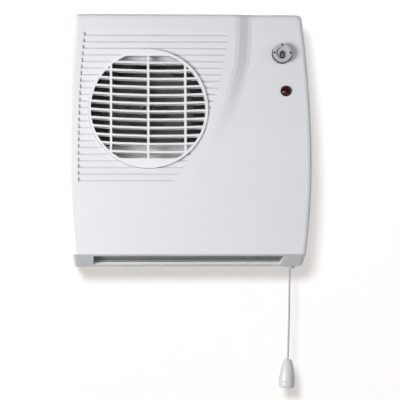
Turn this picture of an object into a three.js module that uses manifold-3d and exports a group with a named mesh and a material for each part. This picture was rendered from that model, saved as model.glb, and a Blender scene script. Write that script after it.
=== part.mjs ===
// Wall-mounted bathroom fan heater with a pull cord.
// Millimetres. Origin at the centre of the wall face, +Z up, +X to the right seen from the front,
// and the front of the heater faces -Y.
import * as THREE from 'three';
import { mergeVertices } from 'three/addons/utils/BufferGeometryUtils.js';
import Module from 'manifold-3d';

const wasm = await Module();
wasm.setup();

// clearance between pieces that touch, and the length of a tool that cuts right through
const FIT = 0.3;
const THROUGH = 200;

// ---------- casing ----------
const CASE_TOP = 128.3;
const CASE_BOTTOM = -126.2;
const CASE_DEPTH = 118;
const CASE_HALF_WIDTH = 122.75;
const WIDEST_HEIGHT = -20;
const SIDE_RADIUS_ABOVE = 1280;
const SIDE_RADIUS_BELOW = 760;
const FACE_RADIUS = 950;
const FACE_UPRIGHT_HEIGHT = -60;
const COVER_WALL = 3;
const COVER_REAR = -0.6;
const EDGE_ROUND = 4.2;
const EDGE_ROUND_STEPS = 3;
const INNER_ROUND_LEAST = 0.6;
const LEVEL_STEP = 15;
const INNER_LEVEL_STEP = 30;
const FOOT_ROUND = 1.4;

// ---------- band under the cover's lip, which leans back to the underside ----------
const LIP_RISE = 12.9;
const LIP_HEIGHT = CASE_BOTTOM + LIP_RISE;
const LIP_STEP = 1.2;
const LIP_WALL = 2.4;
const LIP_INNER_RISE = 5;
const BAND_SETBACK = 29;
const BAND_BOTTOM_Y = -CASE_DEPTH + BAND_SETBACK;

// ---------- sloping step between the intake side and the control side ----------
const STEP_DROP = 5;
const STEP_FULL_HEIGHT = 98;
const STEP_START_HEIGHT = -10;
const STEP_BAND = 16.5;
const STEP_BLEND_POINTS = 5;
const STEP_LINE = [
  [-30, 3.6],
  [0, 18.6],
  [16, 26],
  [35, 32.6],
  [55, 38.8],
  [74, 43.6],
  [90, 46.4],
  [126, 47.2],
];

// ---------- shallow louvres in the face ----------
const LOUVRE_COUNT = 23;
const LOUVRE_LOWEST = -40.4;
const LOUVRE_HIGHEST = 105.8;
const LOUVRE_DEPTH = 0.5;
const LOUVRE_GROOVE_DEPTH = 2;
const LOUVRE_GROOVE_HEIGHT = 1.2;
const LOUVRE_LAND = 0.15;
const LOUVRE_SIDE_MARGIN = 11.3;
const LOUVRE_END_MARGIN = 1;
const LOUVRE_OUTLINE_STEPS = 12;
const NOTCH_WIDTH = 1.7;
const NOTCH_HEIGHT = 3.7;
const NOTCH_DEPTH = 2;
const NOTCH_OVERLAP = 0.4;
const LOUVRE_RIGHT_LINE = [
  [-48, -21.4],
  [-40.4, -16.2],
  [-33.5, -10.6],
  [-23, -4.4],
  [-13, 1.9],
  [-2, 7.6],
  [13, 14.1],
  [33, 21.6],
  [46, 26.6],
  [62, 31.1],
  [80, 34.6],
  [92, 37.3],
  [112, 39.8],
];

// ---------- intake ----------
const INTAKE_INSET = 81.25;
const INTAKE_X = -CASE_HALF_WIDTH + INTAKE_INSET;
const INTAKE_Z = 32.2;
const GRILLE_RADIUS = 60;
const GRILLE_RIM = 2.5;
const GRILLE_TOP_RIM = 6.7;
const GRILLE_BOTTOM_RIM = 9.8;
const GRILLE_OPENING_RADIUS = GRILLE_RADIUS - GRILLE_RIM;
const GRILLE_OPENING_TOP = GRILLE_RADIUS - GRILLE_TOP_RIM;
const GRILLE_OPENING_BOTTOM = -GRILLE_RADIUS + GRILLE_BOTTOM_RIM;
const GRILLE_DEPTH = 9;
const GRILLE_PROUD = 3.2;
const SLAT_COUNT = 12;
const SLAT_TOP = GRILLE_OPENING_TOP - 7.1;
const SLAT_BOTTOM = GRILLE_OPENING_BOTTOM + 6.2;
const SLAT_THICKNESS = 2;
const SLAT_DEPTH = 7;
const SLAT_FALL = 0.12;
const SLAT_BOW = 0.00059;
const SLAT_BOW_CENTRE = 10;
const SLAT_STATIONS = 4;
const BAR_WIDTH = 2.2;
const BAR_SPACING = 37.2;

// ---------- fan ----------
const SHROUD_SETBACK = 21.5;
const SCROLL_FRONT_Y = -CASE_DEPTH + SHROUD_SETBACK;
const SCROLL_BACK_Y = -47.5;
const SCROLL_PLATE = 1.6;
const SCROLL_WALL = 1.8;
const SCROLL_LAP = 0.2;
const IMPELLER_RADIUS = 54;
const IMPELLER_EYE_RADIUS = IMPELLER_RADIUS - 9;
const IMPELLER_FRONT_Y = SCROLL_FRONT_Y + 3.5;
const IMPELLER_BACK_Y = SCROLL_BACK_Y - 5.5;
const IMPELLER_DISC = 1.6;
const IMPELLER_RIM_WIDTH = 3.5;
const IMPELLER_RIM_THICKNESS = 1.8;
const SCROLL_CLEARANCE = 4;
const SCROLL_GROWTH = 15;
const SCROLL_SWEEP = 250;
const SCROLL_START_RADIUS = IMPELLER_RADIUS + SCROLL_CLEARANCE;
const SCROLL_END_RADIUS = SCROLL_START_RADIUS + SCROLL_GROWTH;
const SCROLL_SCREW_CIRCLE = IMPELLER_RADIUS - 4;
const SCROLL_SCREW_RADIUS = 1.5;
const SCROLL_SCREW_HEAD_RADIUS = 3;
const SCROLL_SCREW_LENGTH = 15;
const DUCT_INSET = 4;
const DUCT_NECK = 6;
const BLADE_COUNT = 20;
const BLADE_THICKNESS = 1.1;
const BLADE_LEAN = 0.16;
const HUB_RADIUS = 9;
const HUB_LENGTH = 21;
const NUT_RADIUS = 5.2;
const NUT_THICKNESS = 4.7;
const SHAFT_RADIUS = 2.5;
const INLET_PLATE = 1.4;
const INLET_EDGE_CLEARANCE = 0.8;
const INLET_EYE_CLEARANCE = 1;
const INLET_WINDOW_TOP = SCROLL_START_RADIUS - 11;
const INLET_WINDOW_BOTTOM = -SCROLL_START_RADIUS + 21;

// ---------- motor ----------
const STACK_FRONT_Y = SCROLL_BACK_Y + 10.5;
const STACK_BACK_Y = STACK_FRONT_Y + 20;
const STACK_HALF_WIDTH = 30;
const STACK_TOP = 25;
const STACK_BOTTOM = -52;
const ROTOR_RADIUS = 15;
const ROTOR_GAP = 0.5;
const WINDOW_HALF_WIDTH = 17.5;
const WINDOW_TOP = -21;
const WINDOW_BOTTOM = -40;
const BRACKET_THICKNESS = 1.6;
const BRACKET_STANDOFF = 3.4;
const BRACKET_HALF_HEIGHT = 6.5;
const BRACKET_END = 4;
const BEARING_RADIUS = 7.5;
const BEARING_NEAR = 1.5;
const BEARING_FAR = 7.6;
const MOTOR_BOLT_OFFSET = STACK_HALF_WIDTH - 5;
const MOTOR_BOLT_RADIUS = 1.9;
const MOTOR_BOLT_HEAD_RADIUS = 3.4;
const MOTOR_BOLT_HEAD = 2.2;
const BOBBIN_WALL = 1;
const BOBBIN_FLANGE = 1.3;
const BOBBIN_FLANGE_RISE = 6.5;
const COIL_THICKNESS = 4.6;

// ---------- heater ----------
const HEATER_HALF_WIDTH = CASE_HALF_WIDTH - 30.75;
const HEATER_BOTTOM = CASE_BOTTOM + 23.2;
const HEATER_TOP = HEATER_BOTTOM + 31;
const HEATER_FRONT_Y = -CASE_DEPTH + 18;
const HEATER_BACK_Y = SCROLL_BACK_Y + 1.5;
const SHEET = 1.2;
const ELEMENT_RADIUS = 1.5;
const ELEMENT_RUNS = 5;
const ELEMENT_MARGIN = 7.8;
const ELEMENT_PITCH = (HEATER_BACK_Y - HEATER_FRONT_Y - 2 * ELEMENT_MARGIN) / (ELEMENT_RUNS - 1);
const ELEMENT_HALF_LENGTH = HEATER_HALF_WIDTH - 16;
const ELEMENT_UPPER_Z = HEATER_TOP - 8.5;
const ELEMENT_LOWER_Z = HEATER_BOTTOM + 8.5;
const BOARD_SPACING = 58;
const BOARD_THICKNESS = 1;
const BOARD_EDGE = 2;
const BOARD_HOLE_CLEARANCE = 0.5;
const TAB_Z = HEATER_TOP - 8;
const TAB_THICKNESS = 0.8;
const TAB_LENGTH = 8;
const TAB_HALF_WIDTH = 3.2;
const TAB_FOOT = 6.4;
const TAB_HOLE_RADIUS = 1;
const TAB_DEPTHS = [16, 27, 38];
const CUTOUT_X = -24;
const CUTOUT_Z = HEATER_BOTTOM + 17;
const CUTOUT_FLANGE_RADIUS = 8.5;
const CUTOUT_CAN_RADIUS = 6.5;
const CUTOUT_CAN_HEIGHT = 6;
const CUTOUT_EAR_REACH = 12;
const CUTOUT_TAB_OFFSET = 3.6;

// ---------- outlet ----------
const SLOT_LEFT = -CASE_HALF_WIDTH + 26.4;
const SLOT_RIGHT = CASE_HALF_WIDTH - 26.4;
const SLOT_RIGHT_SLANT = 4;
const SLOT_FRONT_Z = LIP_HEIGHT - 1.9;
const SLOT_REAR_Z = CASE_BOTTOM + 2.1;
const OUTLET_LAP = 4;
const OUTLET_RIM_THICKNESS = 1.4;
const OUTLET_DEPTH = 3.6;
const OUTLET_BAR = 1.4;
const OUTLET_BAR_PLACES = [-3.6, 0.8, 5.2];
const OUTLET_FIN = 1.6;
const OUTLET_FIN_PLACES = [-64.6, -21.6, 18, 60];
const OUTLET_FIN_SETBACK = 1.2;

// ---------- selector dial and its switch ----------
const DIAL_X = CASE_HALF_WIDTH - 29;
const DIAL_Z = CASE_TOP - 40.05;
const DIAL_RADIUS = 10;
const DIAL_PROUD = 6;
const DIAL_BACK = 3.3;
const DIAL_TAPER = 0.3;
const DIAL_BEVEL = 0.6;
const DIAL_WELL_RADIUS = 6.2;
const DIAL_WELL_DEPTH = 0.8;
const DIAL_RELIEF = 0.3;
const DIAL_MARK_WIDTH = 1.4;
const DIAL_MARK_INNER = 7.4;
const DIAL_MARK_OUTER = 8.8;
const DIGIT_HALF_WIDTH = 2.1;
const DIGIT_HALF_HEIGHT = 3.8;
const DIGIT_STROKE = 1.1;
const DIGIT_LEFT = 0.3;
const DIGIT_DROP = 1.9;
const SPINDLE_RADIUS = 3;
const SPINDLE_LENGTH = 16;
const SWITCH_FRONT_Y = -CASE_DEPTH + 24;
const SWITCH_BACK_Y = SWITCH_FRONT_Y + 20;
const SWITCH_HALF = 13;
const SWITCH_NOSE = 3;
const SWITCH_NOSE_HALF = 8;
const SWITCH_NOSE_TOP = 6;
const SWITCH_FOOT_X = DIAL_X - 9.5;
const SWITCH_FOOT_Z = DIAL_Z + 7;
const SWITCH_FOOT_LENGTH = 13.7;

// ---------- pull cord ----------
const CORD_X = CASE_HALF_WIDTH - 18.45;
const CORD_Y = SWITCH_BACK_Y + 4;
const CORD_RADIUS = 1;
const CORD_VISIBLE = 93.1;
const CORD_LEAN = 1.8;
const CORD_STEPS = 14;
const LEVER_LENGTH = 16;
const LEVER_Z = DIAL_Z - 9.25;
const LEVER_HALF_HEIGHT = 1.8;
const LEVER_HALF_THICKNESS = 2;
const LEVER_TIP = 2.6;
const LEVER_BOSS_RADIUS = 4;
const LEVER_BOSS_HALF_THICKNESS = 3;
const PIVOT_RADIUS = 1.8;
const SPRING_X = CORD_X - 5.8;
const SPRING_RADIUS = 2.6;
const SPRING_WIRE = 0.4;
const SPRING_TURNS = 5;
const LEDGE_Z = DIAL_Z + 8.7;
const LEDGE_THICKNESS = 3;
const BUSH_DROP = 2.4;
const BUSH_FACE = CASE_BOTTOM - BUSH_DROP;
const BUSH_RADIUS = 4;
const BUSH_FLANGE_RADIUS = 5.8;
const BUSH_CHAMFER = 0.9;
const BUSH_BORE_CLEARANCE = 0.4;
const BUSH_RISE = 5;
const KNOB_TOP = BUSH_FACE - CORD_VISIBLE;
const KNOB_RADIUS = 8.2;
const KNOB_LENGTH = 29.6;

// ---------- indicator lamp ----------
const LENS_X = CASE_HALF_WIDTH - 25.45;
const LENS_Z = CASE_TOP - 77.65;
const LENS_RADIUS = 5.4;
const LENS_DOME = 3.2;
const LENS_LIP_RADIUS = LENS_RADIUS + 1.6;
const LENS_LIP = 1.2;
const LENS_LIP_BACK = COVER_WALL + 1.8;
const LAMP_RADIUS = 5.8;
const LAMP_BORE_RADIUS = 3.6;
const LAMP_LENGTH = 12;
const LAMP_FLOOR = 2;
const BULB_RADIUS = 3;
const BULB_LENGTH = 9;

// ---------- rear panel ----------
const PANEL_THICKNESS = 3;
const PANEL_RIM_DEPTH = 9;
const PANEL_RIM_WALL = 2;
const PANEL_CORNER = 1.6;
const PANEL_FIT = 0.4;
const PANEL_OFFSET = COVER_WALL + PANEL_FIT;
const KEYHOLE_X = CASE_HALF_WIDTH - 38.75;
const KEYHOLE_HIGH_Z = CASE_TOP - 36.3;
const KEYHOLE_RIGHT_HIGH_Z = LENS_Z + 11.35;
const KEYHOLE_LOW_Z = CASE_BOTTOM + 56.2;
const KEYHOLE_HEAD_RADIUS = 4.6;
const KEYHOLE_SLOT_RADIUS = 2.3;
const KEYHOLE_RISE = 9;
const POST_RADIUS = 4;
const HEATER_POST_RADIUS = 5;
const HEATER_POST_INSET = 22;
const COVER_SCREW_X = 62;
const COVER_SCREW_Y = -30;
const COVER_BLOCK_HALF = 6;
const COVER_BLOCK_RISE = 12.5;
const SCREW_RADIUS = 1.8;
const SCREW_HOLE_RADIUS = SCREW_RADIUS + 0.4;
const SCREW_HEAD_RADIUS = 3.5;
const SCREW_HEAD = 1.4;

// ---------- mains entry ----------
const CABLE_X = CASE_HALF_WIDTH - 26.75;
const CABLE_Z = CASE_BOTTOM + 72.2;
const CABLE_RADIUS = 8;
const GROMMET_BORE_RADIUS = 4.6;
const GROMMET_LIP = 2;
const GROMMET_PROUD = 4;
const CLAMP_Z = CABLE_Z + 22;
const CLAMP_HALF_WIDTH = 12;
const CLAMP_HALF_HEIGHT = 4;
const CLAMP_SCREW_OFFSET = 9;
const CLAMP_BACK_Y = -8;
const CLAMP_THICKNESS = 4.6;
const CLAMP_ARCH_RADIUS = 5;
const CLAMP_ARCH_DEPTH = 2.6;
const CLAMP_SCREW_HEAD_RADIUS = 3.2;
const CLAMP_SCREW_HEAD = 2.1;
const CLAMP_SCREW_LENGTH = 8.3;
const TERMINAL_X = CABLE_X - 1;
const TERMINAL_Z = CLAMP_Z + 33;
const TERMINAL_PITCH = 11;
const TERMINAL_HALF_WIDTH = 11;
const TERMINAL_HALF_HEIGHT = 17;
const TERMINAL_FRONT_Y = -19;
const TERMINAL_WELL_RADIUS = 3;
const TERMINAL_WELL_DEPTH = 7;
const TERMINAL_SCREW_RADIUS = 2.6;
const TERMINAL_SCREW_SUNK = 3.5;
const TERMINAL_SCREW_LENGTH = 3.2;
const WIRE_WAY_Y = -8;
const WIRE_WAY_HALF = 2;
const WIRE_RADIUS = 1.1;
const WIRE_SIDES = 6;

// ---------- helpers ----------
function toSolid(geometry) {
  const bare = geometry.clone();
  bare.deleteAttribute('normal');
  bare.deleteAttribute('uv');
  const merged = mergeVertices(bare, 1e-4);
  const vertProperties = new Float32Array(merged.attributes.position.array);
  const triVerts = new Uint32Array(merged.index.array);
  return new wasm.Manifold(new wasm.Mesh({ numProp: 3, vertProperties, triVerts }));
}

function toGeometry(solid) {
  const mesh = solid.getMesh();
  const geometry = new THREE.BufferGeometry();
  const positions = new Float32Array(mesh.vertProperties);
  geometry.setAttribute('position', new THREE.BufferAttribute(positions, 3));
  geometry.setIndex(new THREE.BufferAttribute(new Uint32Array(mesh.triVerts), 1));
  const flat = geometry.toNonIndexed();
  flat.computeVertexNormals();
  return flat;
}

function join(...geometries) {
  let total = toSolid(geometries[0]);
  for (const geometry of geometries.slice(1)) {
    total = total.add(toSolid(geometry));
  }
  return toGeometry(total);
}

function cut(base, ...tools) {
  let total = toSolid(base);
  for (const tool of tools) {
    total = total.subtract(toSolid(tool));
  }
  return toGeometry(total);
}

function common(first, second) {
  return toGeometry(toSolid(first).intersect(toSolid(second)));
}

function part(name, geometry, color, roughness, metalness) {
  const material = new THREE.MeshStandardMaterial({ color, roughness, metalness });
  const mesh = new THREE.Mesh(geometry, material);
  mesh.name = name;
  return mesh;
}

function shapeOf(points) {
  const shape = new THREE.Shape();
  points.forEach(([across, up], index) => {
    if (index === 0) {
      shape.moveTo(across, up);
    } else {
      shape.lineTo(across, up);
    }
  });
  shape.closePath();
  return shape;
}

// a front-view outline (x, z) made solid from the depth yFront to the depth yBack
function frontExtrude(shape, yFront, yBack, curveSegments = 12) {
  const options = { depth: yBack - yFront, bevelEnabled: false, curveSegments };
  const geometry = new THREE.ExtrudeGeometry(shape, options);
  geometry.rotateX(Math.PI / 2);
  geometry.translate(0, yBack, 0);
  return geometry;
}

// a side-view outline (y, z) made solid from the width xLeft to the width xRight
function sideExtrude(points, xLeft, xRight) {
  const options = { depth: xRight - xLeft, bevelEnabled: false };
  const geometry = new THREE.ExtrudeGeometry(shapeOf(points), options);
  geometry.applyMatrix4(new THREE.Matrix4().set(0, 0, 1, xLeft, 1, 0, 0, 0, 0, 1, 0, 0, 0, 0, 0, 1));
  return geometry;
}

function block(xMin, xMax, yMin, yMax, zMin, zMax) {
  const geometry = new THREE.BoxGeometry(xMax - xMin, yMax - yMin, zMax - zMin);
  geometry.translate((xMin + xMax) / 2, (yMin + yMax) / 2, (zMin + zMax) / 2);
  return geometry;
}

// a round bar along Y
function pin(x, z, radius, yFront, yBack, segments = 20) {
  const geometry = new THREE.CylinderGeometry(radius, radius, yBack - yFront, segments);
  geometry.translate(x, (yFront + yBack) / 2, z);
  return geometry;
}

// a round cutting tool along Y that passes through everything
function bore(x, z, radius, segments) {
  return pin(x, z, radius, -THROUGH, THROUGH, segments);
}

// a round bar along Z
function post(x, y, radius, zMin, zMax, segments = 16) {
  const geometry = new THREE.CylinderGeometry(radius, radius, zMax - zMin, segments);
  geometry.rotateX(Math.PI / 2);
  geometry.translate(x, y, (zMin + zMax) / 2);
  return geometry;
}

// a profile of (radius, y) turned about the Y axis, whichever way round it is listed
function turned(profile, segments) {
  const points = profile.map(([radius, along]) => new THREE.Vector2(radius, along));
  const ordered = THREE.ShapeUtils.area(points) < 0 ? points.reverse() : points;
  return new THREE.LatheGeometry(ordered, segments);
}

// a route that is swept exactly through its own stations
class StationRoute extends THREE.Curve {
  constructor(stations) {
    super();
    this.stations = stations;
  }

  getPoint(share) {
    const along = share * (this.stations.length - 1);
    const index = Math.min(Math.floor(along + 1e-6), this.stations.length - 2);
    return this.stations[index].clone().lerp(this.stations[index + 1], along - index);
  }

  getPointAt(share) {
    return this.getPoint(share);
  }

  getTangentAt(share) {
    const index = Math.round(share * (this.stations.length - 1));
    const before = this.stations[Math.max(index - 1, 0)];
    const here = this.stations[index];
    const after = this.stations[Math.min(index + 1, this.stations.length - 1)];
    const arriving = here.clone().sub(before).normalize();
    const leaving = after.clone().sub(here).normalize();
    return arriving.add(leaving).normalize();
  }
}

function roundBarAlong(stations, radius, sides) {
  const outline = [];
  for (let side = 0; side < sides; side += 1) {
    const angle = (side / sides) * Math.PI * 2;
    outline.push([radius * Math.cos(angle), radius * Math.sin(angle)]);
  }
  const extrudePath = new StationRoute(stations);
  const options = { steps: stations.length - 1, extrudePath, bevelEnabled: false };
  return new THREE.ExtrudeGeometry(shapeOf(outline), options);
}

function spot(x, y, z) {
  return new THREE.Vector3(x, y, z);
}

function onBothSides(build) {
  return [-1, 1].map(build);
}

function interpolate(line, height) {
  for (let index = 1; index < line.length; index += 1) {
    if (height <= line[index][0] || index === line.length - 1) {
      const [lowHeight, lowValue] = line[index - 1];
      const [highHeight, highValue] = line[index];
      const share = (height - lowHeight) / (highHeight - lowHeight);
      return lowValue + (highValue - lowValue) * share;
    }
  }
  return line[0][1];
}

function smooth(value) {
  const clamped = Math.min(Math.max(value, 0), 1);
  return clamped * clamped * (3 - 2 * clamped);
}

// ---------- casing surface ----------
function halfWidth(height) {
  const radius = height > WIDEST_HEIGHT ? SIDE_RADIUS_ABOVE : SIDE_RADIUS_BELOW;
  return CASE_HALF_WIDTH - (height - WIDEST_HEIGHT) ** 2 / (2 * radius);
}

function faceY(height) {
  return -CASE_DEPTH + (height - FACE_UPRIGHT_HEIGHT) ** 2 / (2 * FACE_RADIUS);
}

function stepDrop(height) {
  return STEP_DROP * smooth((height - STEP_START_HEIGHT) / (STEP_FULL_HEIGHT - STEP_START_HEIGHT));
}

function surfaceY(x, height) {
  const across = (x - interpolate(STEP_LINE, height)) / STEP_BAND;
  return faceY(height) + stepDrop(height) * smooth(across);
}

function surfaceTilt(x, height) {
  return Math.atan(surfaceY(x, height + 0.5) - surfaceY(x, height - 0.5));
}

function bandY(height) {
  const share = (LIP_HEIGHT - height) / (LIP_HEIGHT - CASE_BOTTOM);
  return faceY(LIP_HEIGHT) + LIP_STEP + (BAND_BOTTOM_Y - faceY(LIP_HEIGHT) - LIP_STEP) * share;
}

function bandAngle() {
  return Math.atan2(LIP_HEIGHT - CASE_BOTTOM, BAND_BOTTOM_Y - faceY(LIP_HEIGHT) - LIP_STEP);
}

// one level of the casing, listed left to right across the front and then back along the wall side
function caseSection(height, inset, wall, frontShift, rearY) {
  const half = halfWidth(height) - wall - inset;
  const round = Math.max(EDGE_ROUND - wall, INNER_ROUND_LEAST);
  const points = [];
  const front = (x) => frontShift(x, height) + inset;
  const leftFront = front(-half);
  for (let step = 0; step <= EDGE_ROUND_STEPS; step += 1) {
    const angle = Math.PI + (step / EDGE_ROUND_STEPS) * (Math.PI / 2);
    const x = -half + round + round * Math.cos(angle);
    points.push(new THREE.Vector3(x, leftFront + round + round * Math.sin(angle), height));
  }
  for (let step = 0; step < STEP_BLEND_POINTS; step += 1) {
    const x = interpolate(STEP_LINE, height) + (step / (STEP_BLEND_POINTS - 1)) * STEP_BAND;
    points.push(new THREE.Vector3(x, front(x), height));
  }
  const rightFront = front(half);
  for (let step = 0; step <= EDGE_ROUND_STEPS; step += 1) {
    const angle = Math.PI * 1.5 + (step / EDGE_ROUND_STEPS) * (Math.PI / 2);
    const x = half - round + round * Math.cos(angle);
    points.push(new THREE.Vector3(x, rightFront + round + round * Math.sin(angle), height));
  }
  points.push(new THREE.Vector3(half, rearY, height));
  points.push(new THREE.Vector3(-half, rearY, height));
  return points;
}

function loft(sections) {
  const count = sections[0].length;
  const positions = [];
  const push = (...corners) => corners.forEach((corner) => positions.push(corner.x, corner.y, corner.z));
  for (let level = 0; level < sections.length - 1; level += 1) {
    for (let index = 0; index < count; index += 1) {
      const next = (index + 1) % count;
      const low = sections[level];
      const high = sections[level + 1];
      push(low[index], low[next], high[next]);
      push(low[index], high[next], high[index]);
    }
  }
  const last = sections.length - 1;
  for (const level of [0, last]) {
    const section = sections[level];
    const flat = section.map((corner) => new THREE.Vector2(corner.x, corner.y));
    for (const [first, second, third] of THREE.ShapeUtils.triangulateShape(flat, [])) {
      if (level === last) {
        push(section[first], section[second], section[third]);
      } else {
        push(section[first], section[third], section[second]);
      }
    }
  }
  const geometry = new THREE.BufferGeometry();
  geometry.setAttribute('position', new THREE.Float32BufferAttribute(positions, 3));
  return geometry;
}

function caseBody(wall, rearY) {
  const top = CASE_TOP - wall;
  const bottom = CASE_BOTTOM + wall;
  const topRound = Math.max(EDGE_ROUND - wall, INNER_ROUND_LEAST);
  const bandShift = wall / Math.sin(bandAngle());
  const front = (x, height) => Math.max(surfaceY(x, height) + wall, bandY(height) + bandShift);
  const outerFront = (x, height) => (height < LIP_HEIGHT ? bandY(height) : surfaceY(x, height));
  const frontShift = wall > 0 ? front : outerFront;
  const sections = [];
  sections.push(caseSection(bottom, wall > 0 ? 0 : FOOT_ROUND, wall, frontShift, rearY));
  if (wall === 0) {
    sections.push(caseSection(bottom + FOOT_ROUND, 0, wall, frontShift, rearY));
    sections.push(caseSection(LIP_HEIGHT - 0.01, 0, wall, frontShift, rearY));
  } else {
    sections.push(caseSection(LIP_HEIGHT + LIP_WALL, 0, wall, frontShift, rearY));
  }
  const start = wall > 0 ? LIP_HEIGHT + LIP_INNER_RISE : LIP_HEIGHT;
  const end = top - topRound;
  const levels = Math.ceil((end - start) / (wall > 0 ? INNER_LEVEL_STEP : LEVEL_STEP));
  for (let level = 0; level <= levels; level += 1) {
    const height = start + ((end - start) * level) / levels;
    sections.push(caseSection(height, 0, wall, frontShift, rearY));
  }
  for (let step = 1; step <= EDGE_ROUND_STEPS; step += 1) {
    const angle = (step / EDGE_ROUND_STEPS) * (Math.PI / 2);
    const height = end + topRound * Math.sin(angle);
    sections.push(caseSection(height, topRound * (1 - Math.cos(angle)), wall, frontShift, rearY));
  }
  return loft(sections);
}

// turns a piece drawn about a Y axis at the origin into its place on the leaning face
function onFace(geometry, x, height, proud) {
  const placed = geometry.clone();
  placed.applyMatrix4(facePlace(x, height, proud));
  return placed;
}

function facePlace(x, height, proud) {
  const tilt = surfaceTilt(x, height);
  const place = new THREE.Matrix4().makeRotationX(-tilt);
  place.setPosition(x, surfaceY(x, height) - proud * Math.cos(tilt), height + proud * Math.sin(tilt));
  return place;
}

function louvreRecesses() {
  const pitch = (LOUVRE_HIGHEST - LOUVRE_LOWEST) / (LOUVRE_COUNT - 1);
  const recesses = [];
  for (let index = 0; index < LOUVRE_COUNT; index += 1) {
    const low = LOUVRE_LOWEST + index * pitch;
    const mid = low + LOUVRE_GROOVE_HEIGHT;
    const high = low + pitch - LOUVRE_LAND;
    recesses.push(sideExtrude([
      [faceY(low) - COVER_WALL, low],
      [faceY(low) + LOUVRE_GROOVE_DEPTH, low],
      [faceY(mid) + LOUVRE_GROOVE_DEPTH, mid],
      [faceY(mid) + LOUVRE_DEPTH, mid],
      [faceY(high), high],
      [faceY(high) - COVER_WALL, high],
    ], -CASE_HALF_WIDTH, CASE_HALF_WIDTH));
  }
  const outline = [];
  const lowEnd = LOUVRE_LOWEST - LOUVRE_END_MARGIN;
  const highEnd = LOUVRE_HIGHEST + pitch + LOUVRE_END_MARGIN;
  for (let step = 0; step <= LOUVRE_OUTLINE_STEPS; step += 1) {
    const height = lowEnd + ((highEnd - lowEnd) * step) / LOUVRE_OUTLINE_STEPS;
    outline.push([-halfWidth(height) + LOUVRE_SIDE_MARGIN, height]);
    outline.unshift([interpolate(LOUVRE_RIGHT_LINE, height), height]);
  }
  const region = frontExtrude(shapeOf(outline), -THROUGH, 0);
  return join(common(join(...recesses), region), ...louvreNotches(pitch));
}

// a short deeper notch at the left end of every louvre
function louvreNotches(pitch) {
  const notches = [];
  for (let index = 0; index < LOUVRE_COUNT; index += 1) {
    const low = LOUVRE_LOWEST + index * pitch;
    const high = low + NOTCH_HEIGHT;
    const left = -halfWidth(low) + LOUVRE_SIDE_MARGIN - NOTCH_OVERLAP;
    notches.push(sideExtrude([
      [faceY(low) - COVER_WALL, low],
      [faceY(low) + NOTCH_DEPTH, low],
      [faceY(high) + NOTCH_DEPTH, high],
      [faceY(high) - COVER_WALL, high],
    ], left, left + NOTCH_WIDTH));
  }
  return notches;
}

function slotWidth() {
  return SLOT_RIGHT - SLOT_LEFT;
}

function slotLength() {
  return (SLOT_FRONT_Z - SLOT_REAR_Z) / Math.sin(bandAngle());
}

// turns a piece drawn upright at the origin into its place on the leaning band
function onBand(geometry) {
  const middle = (SLOT_FRONT_Z + SLOT_REAR_Z) / 2;
  geometry.rotateX(Math.PI / 2 - bandAngle());
  geometry.translate((SLOT_LEFT + SLOT_RIGHT) / 2, bandY(middle), middle);
  return geometry;
}

function slotTool() {
  const across = slotWidth() / 2;
  const up = slotLength() / 2;
  const outline = shapeOf([
    [-across, up],
    [-across, -up],
    [across - SLOT_RIGHT_SLANT, -up],
    [across, up],
  ]);
  return onBand(frontExtrude(outline, -2 * COVER_WALL, LIP_RISE + LIP_STEP));
}

function castHole(x, y, radius) {
  return post(x, y, radius, CASE_BOTTOM - COVER_WALL, CASE_BOTTOM + 2 * COVER_WALL);
}

function faceHole(x, height, radius, segments) {
  return onFace(pin(0, 0, radius + FIT, -3 * COVER_WALL, 3 * COVER_WALL, segments), x, height, 0);
}

function frontCover() {
  const shell = cut(caseBody(0, COVER_REAR), caseBody(COVER_WALL, 2 * COVER_WALL));
  return cut(
    shell,
    louvreRecesses(),
    grillePlaced(pin(0, 0, GRILLE_RADIUS + FIT, -GRILLE_DEPTH, 2 * GRILLE_DEPTH, 48)),
    faceHole(DIAL_X, DIAL_Z, DIAL_RADIUS, 32),
    faceHole(LENS_X, LENS_Z, LENS_RADIUS, 24),
    slotTool(),
    castHole(CORD_X, CORD_Y, BUSH_RADIUS + FIT),
    ...onBothSides((side) => castHole(side * COVER_SCREW_X, COVER_SCREW_Y, SCREW_HOLE_RADIUS)),
  );
}

// ---------- intake grille ----------
function grilleTilt() {
  const low = faceY(INTAKE_Z - GRILLE_RADIUS);
  const high = faceY(INTAKE_Z + GRILLE_RADIUS);
  return Math.atan((high - low) / (2 * GRILLE_RADIUS));
}

function grillePlaced(geometry) {
  const low = faceY(INTAKE_Z - GRILLE_RADIUS);
  const high = faceY(INTAKE_Z + GRILLE_RADIUS);
  const placed = geometry.clone();
  placed.rotateX(-grilleTilt());
  placed.translate(INTAKE_X, (low + high) / 2, INTAKE_Z);
  return placed;
}

function truncatedCircle(radius, top, bottom, segments) {
  const points = [];
  for (let step = 0; step < segments; step += 1) {
    const angle = (step / segments) * Math.PI * 2;
    const up = Math.min(Math.max(radius * Math.sin(angle), bottom), top);
    const across = radius * Math.cos(angle);
    const edge = Math.sqrt(Math.max(radius ** 2 - up ** 2, 0));
    points.push([Math.min(Math.max(across, -edge), edge), up]);
  }
  return points;
}

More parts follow.
